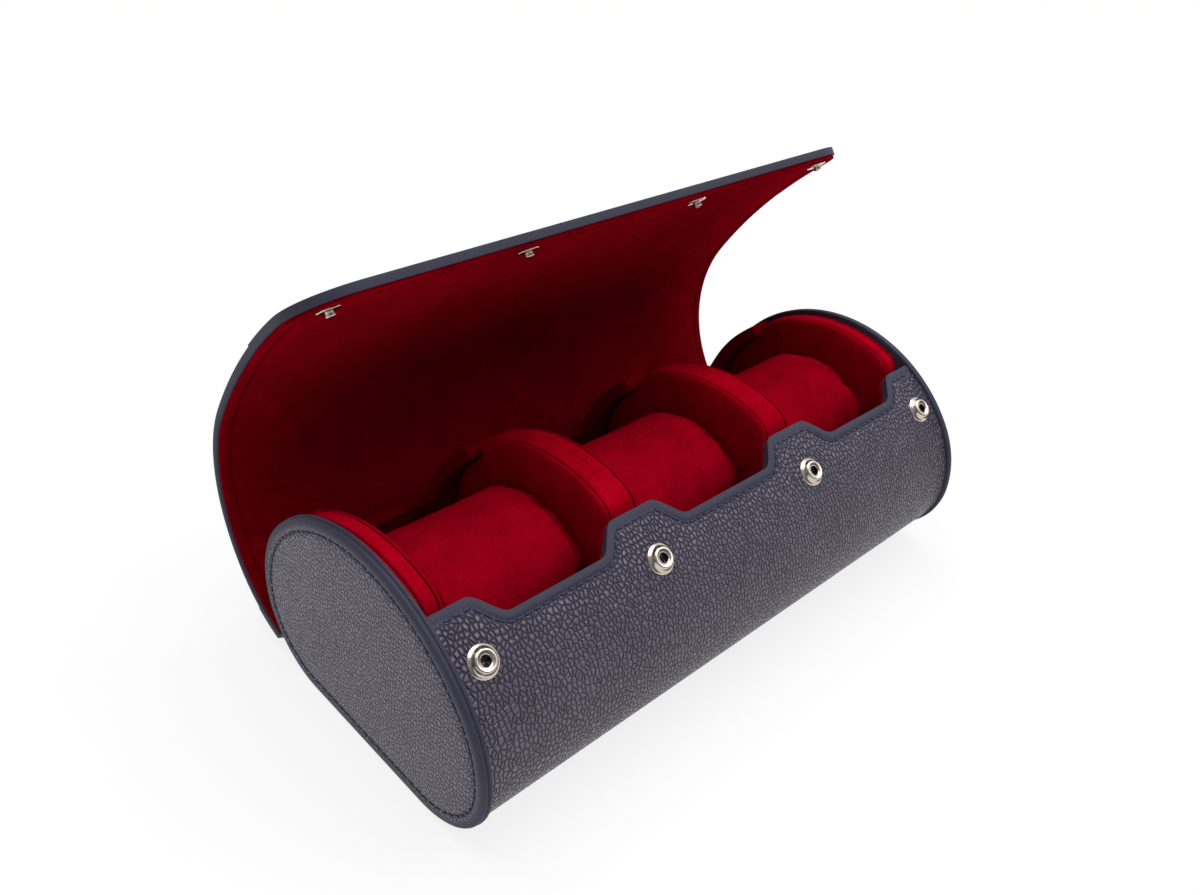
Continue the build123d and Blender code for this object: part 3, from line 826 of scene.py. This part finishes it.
def partition_point(turn, inside):
    """A point on the partitions' outline, moved inwards."""
    way = section_length()
    distance = turn * way
    from_top = distance if distance < way / 2 else way - distance
    step = FRONT_STEP if distance < way / 2 else BACK_STEP
    rise = 1 - exp(-max(step - from_top, 0) / STEP_LENGTH)
    depth = SUNK_DEPTH + (RAISED_DEPTH - SUNK_DEPTH) * rise
    y, z, _, _ = section_point(distance, depth=depth + min(inside, PARTITION_OFFSET))
    return pulled_in(y, z, inside, PARTITION_OFFSET)


def partition_profile(thickness, dome=0.25):
    """(inside the outline, along X from the middle) across a partition, seams included."""
    half, seam = thickness / 2, thickness / 2 - SEAM_INSET
    face = [(CENTRE_INSET, 1.0), (44.0, 1.0), (30.0, 0.9), (20.0, 0.75), (12.0, 0.5), (7.0, 0.2)]
    corner = [(4.0, 0.0), (2.4, 0.08), (1.4, 0.22), (0.8, 0.42), (0.42, 0.68), (0.24, 0.95)]
    groove = [(0.3, 0.32), (0.62, 0.16), (0.9, 0.0), (0.62, -0.16), (0.28, -0.34), (0.1, -0.7),
              (0.02, -1.3)]
    side = [(inside, half + dome * share) for inside, share in face]
    side += [(inside, half - drop) for inside, drop in corner]
    side += [(inside, seam + along) for inside, along in groove]
    if thickness > WIDE_BAND:
        side.append((0.0, half - 4.2))
    return side + [(inside, -x) for inside, x in reversed(side)]


def make_partition(name, middle, thickness, nodes):
    """One padded wall across the tray, its middle plane at x = middle."""
    profile = partition_profile(thickness)
    columns, rows = 220, len(profile) - 1

    def place(i, j):
        inside, along = profile[j]
        y, z = partition_point((i % columns) / columns, inside)
        return middle + along, y, z

    mesh = mapped_mesh(columns, rows, place)
    bmesh.ops.recalc_face_normals(mesh, faces=mesh.faces)
    seam = thickness / 2 - SEAM_INSET
    mark(mesh, "seam", lambda p: dip(abs(p.x - middle), seam, 0.22))
    piece = new_piece(name, mesh, PARTITION_SUEDE)
    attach(piece, "case")
    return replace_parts(piece, *nodes)


partitions = []
for name, side in (("left", -1), ("right", 1)):
    middle = side * (TRAY_X - END_PAD_THICKNESS / 2)
    partitions.append(make_partition("end_pad_" + name, middle, END_PAD_THICKNESS, [
        "end_pad_core_" + name, "end_pad_gusset_" + name, "end_pad_face_" + name]))
    partitions.append(make_partition("divider_" + name, side * DIVIDER_PITCH / 2, DIVIDER_THICKNESS, [
        "divider_core_" + name, "divider_gusset_" + name, "divider_faces_" + name]))
print("partitions:", [len(p.data.polygons) for p in partitions])

# %% [markdown]
# ## Cushions
#
# A loose roll of foam under suede lies in each slot. A smooth loaf would look like plastic, and
# sculpting needs a hand. So a loaf a little smaller than its room gets an even mesh, swells as
# cloth under pressure, and is held to its room. The same few frames run each time, so the result
# is the same too. Two seams near each end come last.

# %% The loaf
LOAF_CAP = 12.0                    # inside this inset an end closes to the axis


def loaf_point(turn, inside):
    """A point on a cushion's outline, as (y, z), moved inwards; found by halving."""
    half, floor = CUSHION_WIDTH / 2 - inside, CUSHION_FLOOR + inside
    crown_z = CUSHION_TOP - CUSHION_CROWN_RADIUS
    angle = 2 * pi * turn
    reach = CUSHION_CROWN_RADIUS - inside
    foot = max(CUSHION_FOOT_RADIUS - inside, 1.0)
    dy, dz = sin(angle), cos(angle)
    low, high = 0.0, 80.0
    for _ in range(30):
        way = (low + high) / 2
        y, z = dy * way, CUSHION_CENTRE_Z + dz * way
        within = abs(y) <= half and z >= floor
        if z > crown_z:
            within = within and hypot(y, z - crown_z) <= reach
        if abs(y) > half - foot and z < floor + foot:
            within = within and hypot(abs(y) - (half - foot), z - floor - foot) <= foot
        low, high = (way, high) if within else (low, way)
    return CUSHION_CENTRE_Y + dy * low, CUSHION_CENTRE_Z + dz * low


def start_loaf(middle, shrink):
    """A loaf, smaller all round than its room."""
    half = CUSHION_LENGTH / 2 - shrink
    profile = [(CENTRE_INSET, half), (LOAF_CAP, half), (shrink + 1.5, half), (shrink + 0.4, half - 0.5),
               (shrink, half - 1.5), (shrink, half - 12.0), (shrink, 0.0)]
    profile += [(inside, -along) for inside, along in reversed(profile[:-1])]
    columns, rows = 72, len(profile) - 1

    def place(i, j):
        inside, along = profile[j]
        y, z = loaf_point((i % columns) / columns, min(inside, LOAF_CAP))
        if inside > LOAF_CAP:
            y, z = CUSHION_CENTRE_Y, CUSHION_CENTRE_Z
        return middle + along, y, z

    mesh = mapped_mesh(columns, rows, place)
    bmesh.ops.recalc_face_normals(mesh, faces=mesh.faces)
    return mesh


print(f"a cushion's outline stands {loaf_point(0.0, 0.0)[1]:.1f} mm high")

# %% Swelling
CLOTH_SCALE = 10.0                 # cloth settings suit a piece half a metre long
SWELL_LIMIT = 2.2


def swell(piece, voxel, pressure, frames):
    """The piece as inflated cloth. It is enlarged for the simulation and put back after it."""
    for vert in piece.data.vertices:
        vert.co *= CLOTH_SCALE
    remesh = piece.modifiers.new("even mesh", "REMESH")
    remesh.mode, remesh.voxel_size = "VOXEL", voxel * MM * CLOTH_SCALE
    apply_modifiers(piece)
    start = [vert.co.copy() for vert in piece.data.vertices]
    cloth = piece.modifiers.new("cloth", "CLOTH").settings
    cloth.quality, cloth.mass = 5, 0.3
    cloth.tension_stiffness = cloth.compression_stiffness = 15
    cloth.shear_stiffness, cloth.bending_stiffness = 5, 0.5
    cloth.use_pressure, cloth.uniform_pressure_force = True, pressure
    cloth.effector_weights.gravity = 0
    for step in range(1, frames + 1):
        bpy.context.scene.frame_set(step)
    apply_modifiers(piece)
    bpy.context.scene.frame_set(1)
    limit = SWELL_LIMIT * MM * CLOTH_SCALE
    for vert, was in zip(piece.data.vertices, start):
        moved = vert.co - was
        vert.co = (was + moved * min(1.0, limit / max(moved.length, 1e-9))) / CLOTH_SCALE
    rounder = piece.modifiers.new("rounder", "SUBSURF")
    rounder.levels = rounder.render_levels = 1
    return apply_modifiers(piece)


print(f"a cushion swells by at most {SWELL_LIMIT} mm")

# %% Cushions
LOAF_SHRINK, VOXEL, PRESSURE, CLOTH_FRAMES = 1.9, 1.7, 6.0, 14
SEAM_DEPTH, SEAM_DARKNESS = 0.75, 0.85
END_SEAMS = ((2.6, 0.45, 1.0), (4.3, 0.4, 0.8))        # (from the end, width, share of the depth)


def seam_share(x, middle):
    """How deep in one of the two seams at either end a point lies, from 0 to 1."""
    from_end = CUSHION_LENGTH / 2 - abs(x - middle)
    return max(share * dip(from_end, centre, width) for centre, width, share in END_SEAMS)


def make_cushion(number, middle):
    """A roll in its slot: swollen, then drawn in along its seams."""
    piece = new_piece(f"cushion_{number}_roll", start_loaf(middle, LOAF_SHRINK), CUSHION_SUEDE)
    swell(piece, VOXEL, PRESSURE, CLOTH_FRAMES)
    mesh = bmesh.new()
    mesh.from_mesh(piece.data)
    bmesh.ops.remove_doubles(mesh, verts=mesh.verts, dist=1e-6)
    near = [e for e in mesh.edges
            if seam_share((e.verts[0].co.x + e.verts[1].co.x) / 2 / MM, middle) > 0.02]
    bmesh.ops.subdivide_edges(mesh, edges=near, cuts=1, use_grid_fill=True)
    mesh.normal_update()
    half = CUSHION_LENGTH / 2
    for vert in mesh.verts:
        point = vert.co / MM
        around = hypot(point.y - CUSHION_CENTRE_Y, point.z - CUSHION_CENTRE_Z)
        sunk = SEAM_DEPTH * seam_share(point.x, middle) if around > LOAF_CAP else 0.0
        vert.co -= vert.normal * sunk * MM
        vert.co.x = (middle + max(-half, min(half, vert.co.x / MM - middle))) * MM
    mark(mesh, "seam", lambda p: SEAM_DARKNESS * seam_share(p.x, middle))
    mesh.to_mesh(piece.data)
    mesh.free()
    piece.data.shade_smooth()
    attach(piece, f"cushion_{number}")
    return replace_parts(piece, f"cushion_core_{number}", f"cushion_cover_{number}", f"cushion_ends_{number}")


cushions = [make_cushion(number, middle) for number, middle in enumerate(SLOT_CENTRES, start=1)]
print("cushions:", [len(c.data.polygons) for c in cushions])

# %% [markdown]
# ## The lid
#
# The lid is a leather sheet with a hemmed edge and a suede lining that stops just inside it. When
# it closes, the real leather bends everywhere a little. Simulated cloth could do that, but it would
# have to run again for every position. So leather and lining are cut at four lines between the
# folds into parts that each cross one fold, and the cut ends of each part meet the next part.

# %% Outline of the lid
LID_NARROW_END = 7.2               # up to here the lid lies between the discs
LID_CLEARANCE, LID_ROW, CORNER_ROWS = 0.2, 1.4, 16
LINING_INSET, LID_STITCH_INSET, LID_HEM = 0.6, 4.0, 1.6


def lid_half_width(distance, inset=0.0):
    """Half the lid's width: narrow between the discs, then full, then round at the corners."""
    if distance < LID_NARROW_END:
        return TRAY_X - LID_CLEARANCE - inset
    into = distance - (LID_LENGTH - LID_CORNER_RADIUS)
    reach = LID_CORNER_RADIUS - inset
    if into <= 0:
        return END_X - inset
    return END_X - LID_CORNER_RADIUS + sqrt(max(reach ** 2 - into ** 2, 0))


def between(start, end, count):
    """Distances in even steps, both ends included."""
    return [start + (end - start) * k / count for k in range(count + 1)]


def lid_rows(start, end, inset):
    """Distances of the rows of one part, closer together round the front corners."""
    if end < LID_LENGTH:
        return between(start, end, round((end - start) / LID_ROW))
    tip, reach = LID_LENGTH - LID_CORNER_RADIUS, LID_CORNER_RADIUS - inset
    corner = [tip + reach * sin(pi / 2 * k / CORNER_ROWS) for k in range(CORNER_ROWS + 1)]
    return between(start, tip, round((tip - start) / LID_ROW))[:-1] + corner


LID_COLUMNS = [0.0, 0.8, 1.8, 2.8, 3.4, 3.8, 4.0, 4.2, 4.6, 5.4, 7.0]      # dense at the stitches


def lid_x(i, columns, half):
    """x of a column: fixed distances near both edges, even between them."""
    near = len(LID_COLUMNS) - 1
    if i <= near:
        return -half + LID_COLUMNS[i]
    if i >= columns - near:
        return half - LID_COLUMNS[columns - i]
    inner = half - LID_COLUMNS[-1]
    return -inner + 2 * inner * (i - near) / (columns - 2 * near)


def lid_margin(x, distance):
    """How far inside the lid's outline a point lies."""
    corner_x, corner_s = END_X - LID_CORNER_RADIUS, LID_LENGTH - LID_CORNER_RADIUS
    if abs(x) > corner_x and distance > corner_s:
        return LID_CORNER_RADIUS - hypot(abs(x) - corner_x, distance - corner_s)
    return min(END_X - abs(x), LID_LENGTH - distance)


print("half the lid's width in its middle:", lid_half_width(LID_LENGTH / 2))

# %% Leather and lining of the lid
LID_GRID_COLUMNS = 96
FIRST_FOLD_REACH, FOLD_REACH = 2.5, 4.0    # how far on each side of its line a fold bends


def fold_bend(number):
    """The bodies on both sides of a fold, and the two points between which the leather bends."""
    bodies = ("case" if number == 1 else f"lid_panel_{number - 1}", f"lid_panel_{number}")
    fold, reach = LID_FOLDS[number - 1], FIRST_FOLD_REACH if number == 1 else FOLD_REACH
    bend = [tuple(c * MM for c in lid_point(0, fold + way * reach, 0)) for way in (-1, 1)]
    return bodies, bend


def lid_cut(distance):
    """A plane square to the lid: a point on it and its direction."""
    heading = radians(lid_state(distance)[2])
    return Vector(lid_point(0, distance, 0)) * MM, Vector((0, cos(heading), sin(heading)))


def lid_sheet(rows, side, inset, face, groove):
    """Where the corners of one face of the lid lie, with its stitch groove.

    side is -1 for the outer face, whose grid is mirrored so that it looks outwards, and 1 for the
    inner one."""
    def place(i, j):
        x = side * lid_x(i, LID_GRID_COLUMNS, lid_half_width(rows[j], inset))
        sunk = groove * dip(lid_margin(x, rows[j]), LID_STITCH_INSET, 0.5)
        return lid_point(x, rows[j], face - side * sunk)
    return place


def make_lid_leather(number, start, end):
    """The outer sheet of one part, as thick as leather and board, with its pressed hem."""
    rows = lid_rows(start, end, 0.0)
    ladder = [(*lid_point(0, s, LID_OUTSIDE)[1:], s) for s in rows]

    def pressed(point):
        distance = min(ladder, key=lambda rung: hypot(point.y - rung[0], point.z - rung[1]))[2]
        return fade(lid_margin(point.x, distance), LID_HEM, 0.3)

    mesh = mapped_mesh(LID_GRID_COLUMNS, len(rows) - 1, lid_sheet(rows, -1, 0.0, LID_OUTSIDE, 0.25),
                       lambda i, j: (lid_x(i, LID_GRID_COLUMNS, END_X), rows[j]))
    mark(mesh, "pressed", pressed)
    return new_piece(f"lid_leather_part_{number}", mesh, LEATHER)


def make_lid_lining(number, start, end):
    """The suede of one part."""
    rows = lid_rows(start, end, LINING_INSET)
    mesh = mapped_mesh(LID_GRID_COLUMNS, len(rows) - 1,
                       lid_sheet(rows, 1, LINING_INSET, LID_INSIDE, 0.35))
    return new_piece(f"lid_lining_part_{number}", mesh, SHADED_LINING_SUEDE)


def make_lid_part(number, start, end):
    """Leather and lining of one part, which crosses one fold."""
    bodies, bend = fold_bend(number)
    cuts = [lid_cut(s) for s in (start, end) if s < LID_LENGTH]
    skin = make_lid_leather(number, start, end)
    thicken(skin, LID_HEM_FACE - LID_OUTSIDE, rim=0.75, cuts=cuts)
    lining = make_lid_lining(number, start, end)
    thicken(lining, LID_INSIDE - LID_HEM_FACE, rim=0.45, segments=3, cuts=cuts)
    for piece in (skin, lining):
        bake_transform(piece)
    tail_board, tail_lining = (["tail_board"], ["tail_lining"]) if number == 1 else ([], [])
    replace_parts(skin, f"lid_leather_{number}", f"lid_board_{number}", *tail_board)
    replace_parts(lining, f"lid_lining_{number}", *tail_lining)
    return skin, lining


print("the first fold bends between", fold_bend(1)[0])

# %% [markdown]
# ## The lid's stitches
#
# One row of thread goes through the whole lid near its edge: navy on the leather, dark red on the
# suede. The thread could ride on one panel, but then it would leave the leather at a fold. So it
# is cut into the same parts, and the last cell of the lid makes both together.

# %% Stitches of the lid, and all its parts
LID_THREADS = (("inner", LID_INSIDE - 0.1, 1, RED_THREAD), ("outer", LID_OUTSIDE + 0.05, -1, THREAD))


def lid_border(start, end, side):
    """The stitch line of one part on one side, as (x, distance)."""
    corner_x, corner_s = END_X - LID_CORNER_RADIUS, LID_LENGTH - LID_CORNER_RADIUS
    reach = LID_CORNER_RADIUS - LID_STITCH_INSET
    line = [(side * (min(END_X, lid_half_width(s)) - LID_STITCH_INSET), s)
            for s in between(start, min(end, corner_s), 40)]
    if end == LID_LENGTH:          # round the corner, then along the front to the middle
        line += [(side * (corner_x + reach * cos(angle)), corner_s + reach * sin(angle))
                 for angle in (pi / 2 * k / 12 for k in range(1, 13))]
        line += [(side * corner_x * (1 - k / 20), LID_LENGTH - LID_STITCH_INSET) for k in range(1, 21)]
    return line


def make_lid_stitches(number, start, end):
    """Both threads of one part."""
    bodies, bend = fold_bend(number)
    states = [(Vector(lid_point(0, s, 0)), radians(lid_state(s)[2])) for s in between(start, end, 60)]
    for name, offset, way, material in LID_THREADS:

        def upwards(point):
            heading = min(states, key=lambda st: hypot(point.y - st[0].y, point.z - st[0].z))[1]
            return Vector((0, -sin(heading), cos(heading))) * way

        mesh = bmesh.new()
        for side in (-1, 1):
            line = [Vector(lid_point(x, s, offset)) for x, s in lid_border(start, end, side)]
            add_stitches(mesh, line, upwards, pitch=3.0, length=2.4, width=0.5)
        piece = new_piece(f"lid_stitches_{name}_{number}", mesh, material)
        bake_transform(piece)


for number, (start, end) in enumerate(zip(LID_SPLITS, LID_SPLITS[1:]), start=1):
    made = make_lid_part(number, start, end)
    make_lid_stitches(number, start, end)
    print("lid part", number, [len(p.data.polygons) for p in made])

# %% [markdown]
# ## Snaps
#
# Four sockets sit on the front of the tray and four studs on the lining of the lid, of pressed
# sheet metal. They could be stacks of cylinders with bevels. But such fittings are round about
# one axis, so one profile of each, carried once round it, gives every step and rim at once.

# %% Snaps
SOCKET_PROFILE = [                 # (from the axis, out of the leather)
    (0.0, -0.35), (1.7, -0.35), (1.75, 0.9), (1.5, 1.25), (1.42, 1.5), (1.5, 1.72), (1.75, 1.86),
    (2.2, 1.98), (2.6, 2.08), (2.9, 2.02), (3.1, 1.8), (3.25, 1.5), (3.5, 1.0), (3.75, 0.68),
    (4.0, 0.54), (4.3, 0.42), (4.5, 0.15), (4.5, -0.1), (3.9, -0.2),
]
STUD_PROFILE = [
    (0.0, 2.02), (0.6, 1.98), (1.05, 1.85), (1.32, 1.6), (1.35, 1.35), (1.15, 1.1), (1.05, 0.85),
    (1.2, 0.62), (1.6, 0.55), (2.6, 0.5), (3.05, 0.4), (3.25, 0.2), (3.25, 0.0),
]
SOCKET_SUNK, STUD_SUNK = 0.2, 0.05


def turned_mesh(profile, places, columns=48):
    """The profile turned round each place's own axis, all in one mesh."""
    whole = bmesh.new()
    for place in places:
        outline = [whole.verts.new((radius * MM, 0, height * MM)) for radius, height in profile]
        edges = [whole.edges.new(pair) for pair in zip(outline, outline[1:])]
        bmesh.ops.spin(whole, geom=outline + edges, cent=(0, 0, 0), axis=(0, 0, 1), angle=2 * pi,
                       steps=columns, use_merge=True)
        part = [v for v in whole.verts if not v.tag]
        bmesh.ops.transform(whole, matrix=place, verts=part)
        for vert in part:
            vert.tag = True
    bmesh.ops.remove_doubles(whole, verts=whole.verts, dist=MERGE_DISTANCE)
    bmesh.ops.recalc_face_normals(whole, faces=whole.faces)
    return whole


def standing(point, up):
    """A piece's place: its foot at a point in millimetres, its axis along up."""
    along = Vector((1, 0, 0))
    turn = Matrix((along, up.cross(along), up)).transposed().to_4x4()
    return Matrix.Translation(Vector(point) * MM) @ turn


def snap_places():
    """Where the sockets stand, square to the crown."""
    angle, reach = radians(SNAP_ANGLE), CROWN_RADIUS - RIM_STEP - SOCKET_SUNK
    up = Vector((0, -cos(angle), sin(angle)))
    return [standing((x, reach * up.y, CROWN_Z + reach * up.z), up) for x in SNAP_XS]


def stud_places():
    """Where the studs stand, square to the lid."""
    heading = radians(lid_state(STUD_DISTANCE)[2])
    up = Vector((0, -sin(heading), cos(heading)))
    return [standing(lid_point(x, STUD_DISTANCE, LID_INSIDE - STUD_SUNK), up) for x in SNAP_XS]


sockets = new_piece("snap_socket_rings", turned_mesh(SOCKET_PROFILE, snap_places()), NICKEL)
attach(sockets, "case")
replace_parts(sockets, "snap_sockets", "socket_rivets")
studs = new_piece("snap_stud_knobs", turned_mesh(STUD_PROFILE, stud_places()), NICKEL)
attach(studs, "lid_panel_5")
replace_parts(studs, "snap_studs", "stud_rivets")
print("snaps:", len(sockets.data.polygons), len(studs.data.polygons))

# %% [markdown]
# ## What the model still shows
#
# The tray's lining is smooth and needs no finer mesh, so it stays as the model has it. Each node
# takes its material by a word in its name, and the first word that fits counts. A list of all the
# names would do the same, but it would have to be kept up with the model.

# %% Materials of the model's own nodes
NODE_MATERIALS = [
    ("lining", SHADED_LINING_SUEDE), ("leather", LEATHER), ("facing", SHADED_LINING_SUEDE), ("board", BOARD), ("core", FOAM),
    ("divider", PARTITION_SUEDE), ("end_pad", PARTITION_SUEDE), ("cushion", CUSHION_SUEDE),
    ("snap", NICKEL), ("rivets", NICKEL),
]
for name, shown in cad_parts.items():
    material = next(material for word, material in NODE_MATERIALS if word in name)
    shown.data.materials.clear()
    shown.data.materials.append(material)
print("still shown:", sorted(n for n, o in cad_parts.items() if not o.hide_render))

# %% [markdown]
# ## Camera
#
# The camera stands where the photograph was taken from, above the left front corner, and leans a
# little. It could be turned by hand until the view looks right, which only comes near. The numbers
# were solved from outlines instead, and the camera's own axes are built from them.

# %% Camera
AZIMUTH, ELEVATION, ROLL, DISTANCE = -47.72, 34.70, 7.07, 352.66
SENSOR_WIDTH, FOCAL_LENGTH = 36.0, 32.745
TARGET = Vector((0, 21.95, 44.66))


def make_camera():
    """A camera at a distance from the target, in a direction given by its angles."""
    data = bpy.data.cameras.new("camera")
    data.sensor_width, data.lens = SENSOR_WIDTH, FOCAL_LENGTH
    data.clip_start, data.clip_end = 0.01, 20
    camera = bpy.data.objects.new("camera", data)
    bpy.context.scene.collection.objects.link(camera)
    a, e, r = radians(AZIMUTH), radians(ELEVATION), radians(ROLL)
    back = Vector((sin(a) * cos(e), -cos(a) * cos(e), sin(e)))
    right = (-back).cross(Vector((0, 0, 1))).normalized()
    up = right.cross(-back)
    right, up = cos(r) * right + sin(r) * up, -sin(r) * right + cos(r) * up
    turn = Matrix((right, up, back)).transposed().to_4x4()
    camera.matrix_world = Matrix.Translation((TARGET + back * DISTANCE) * MM) @ turn
    bpy.context.scene.camera = camera


make_camera()
print(f"the camera stands {DISTANCE:.0f} mm from its target")

# %% [markdown]
# ## The room and the table
#
# A product picture has a white background and a soft shadow. White paper under strong lamps could
# make it, but then the leather would mirror white all round and look pale. So the camera sees
# white everywhere, what is mirrored is white only behind the case, and the light comes from a dim
# room. The table works the same way: what is seen of it mostly glows, so that it fades into the
# background and keeps a faint shadow.

# %% World
ROOM_LOW, ROOM_HIGH, ROOM_STRENGTH = (0.07, 0.072, 0.076), (0.62, 0.62, 0.63), 0.7


def shown_white(tree, share=None):
    """1 for the rays that see the backdrop: the camera's, and those of mirrors and glass."""
    path = node(tree, "LightPath")
    other = math(tree, "MAXIMUM", path.outputs["Is Glossy Ray"], path.outputs["Is Transmission Ray"])
    if share:
        other = math(tree, "MULTIPLY", other, share)
    return math(tree, "MAXIMUM", path.outputs["Is Camera Ray"], other)


def make_world():
    """A white backdrop behind the case; the rest is a room that is dim but for its ceiling."""
    world = bpy.data.worlds.new("white room")
    bpy.context.scene.world = world
    world.use_nodes = True
    tree = world.node_tree
    tree.nodes.clear()
    way, height = node(tree, "TexCoord"), node(tree, "SeparateXYZ")
    tree.links.new(way.outputs["Generated"], height.inputs[0])
    level = math(tree, "MULTIPLY_ADD", height.outputs["Z"], 0.5, 0.5)
    room = colour_between(tree, level, ROOM_LOW, ROOM_HIGH, 0.5, 0.95)
    seen = node(tree, "Background", {"Color": (1, 1, 1, 1), "Strength": 1.0})
    light = node(tree, "Background", {"Strength": ROOM_STRENGTH})
    tree.links.new(room, light.inputs["Color"])
    forwards = (-sin(radians(AZIMUTH)), cos(radians(AZIMUTH)), 0)
    behind = node(tree, "VectorMath", {1: forwards}, operation="DOT_PRODUCT")
    tree.links.new(way.outputs["Generated"], behind.inputs[0])
    backdrop = math(tree, "MULTIPLY_ADD", behind.outputs["Value"], 4.0, -1.0)
    backdrop.node.use_clamp = True
    mix, out = node(tree, "MixShader"), node(tree, "OutputWorld")
    tree.links.new(shown_white(tree, backdrop), mix.inputs[0])
    tree.links.new(light.outputs[0], mix.inputs[1])
    tree.links.new(seen.outputs[0], mix.inputs[2])
    tree.links.new(mix.outputs[0], out.inputs[0])


make_world()
print("world:", bpy.context.scene.world.name)

# %% Floor
FLOOR_SIZE, FLOOR_DROP = 3.0, 0.0002       # metres
TABLE, TABLE_GLOW = (0.8, 0.8, 0.8, 1), (1, 0.98, 0.97, 1)
SHOWN_TABLE, WHITE = (0.17, 0.17, 0.17, 1), (1, 1, 1, 1)


def glowing(tree, colour, glow, strength):
    """A matt surface that also gives light."""
    both = node(tree, "AddShader")
    matt = node(tree, "BsdfDiffuse", {"Color": colour})
    light = node(tree, "Emission", {"Color": glow, "Strength": strength})
    tree.links.new(matt.outputs[0], both.inputs[0])
    tree.links.new(light.outputs[0], both.inputs[1])
    return both.outputs[0]


def make_floor():
    """A white table. What the camera sees of it is mostly its own glow, so its shadow stays faint."""
    mesh = bmesh.new()
    bmesh.ops.create_grid(mesh, x_segments=1, y_segments=1, size=FLOOR_SIZE)
    bmesh.ops.translate(mesh, verts=mesh.verts, vec=(0, 0, -FLOOR_DROP))
    material = bpy.data.materials.new("white floor")
    material.use_nodes = True
    tree = material.node_tree
    tree.nodes.clear()
    mix, out = node(tree, "MixShader"), node(tree, "OutputMaterial")
    tree.links.new(shown_white(tree), mix.inputs[0])
    tree.links.new(glowing(tree, TABLE, TABLE_GLOW, strength=0.35), mix.inputs[1])
    tree.links.new(glowing(tree, SHOWN_TABLE, WHITE, strength=0.82), mix.inputs[2])
    tree.links.new(mix.outputs[0], out.inputs[0])
    new_piece("floor", mesh, material)


make_floor()
print(f"floor: {2 * FLOOR_SIZE:.0f} m wide")

# %% [markdown]
# ## Daylight
#
# The case stands in the light of large windows, so its shadows are broad and soft. Area lamps
# could do the same, but their strength changes with their distance. A sun with a wide disc does
# not, and it looks the same on every piece. One lights the case from above and one from the front.

# %% Lamps
def make_sun(name, direction, strength, spread):
    """Soft daylight from a direction; spread is the angle of its disc in degrees."""
    data = bpy.data.lights.new(name, "SUN")
    data.energy, data.angle = strength, radians(spread)
    lamp = bpy.data.objects.new(name, data)
    bpy.context.scene.collection.objects.link(lamp)
    lamp.rotation_euler = Vector(direction).to_track_quat("Z", "Y").to_euler()


make_sun("window above", (0.05, 0.25, 1.0), strength=2.0, spread=60)
make_sun("window in front", (0.60, -0.42, 0.72), strength=0.9, spread=36)
bpy.context.scene.view_settings.view_transform = "Standard"
print("lamps:", len(bpy.data.lights))
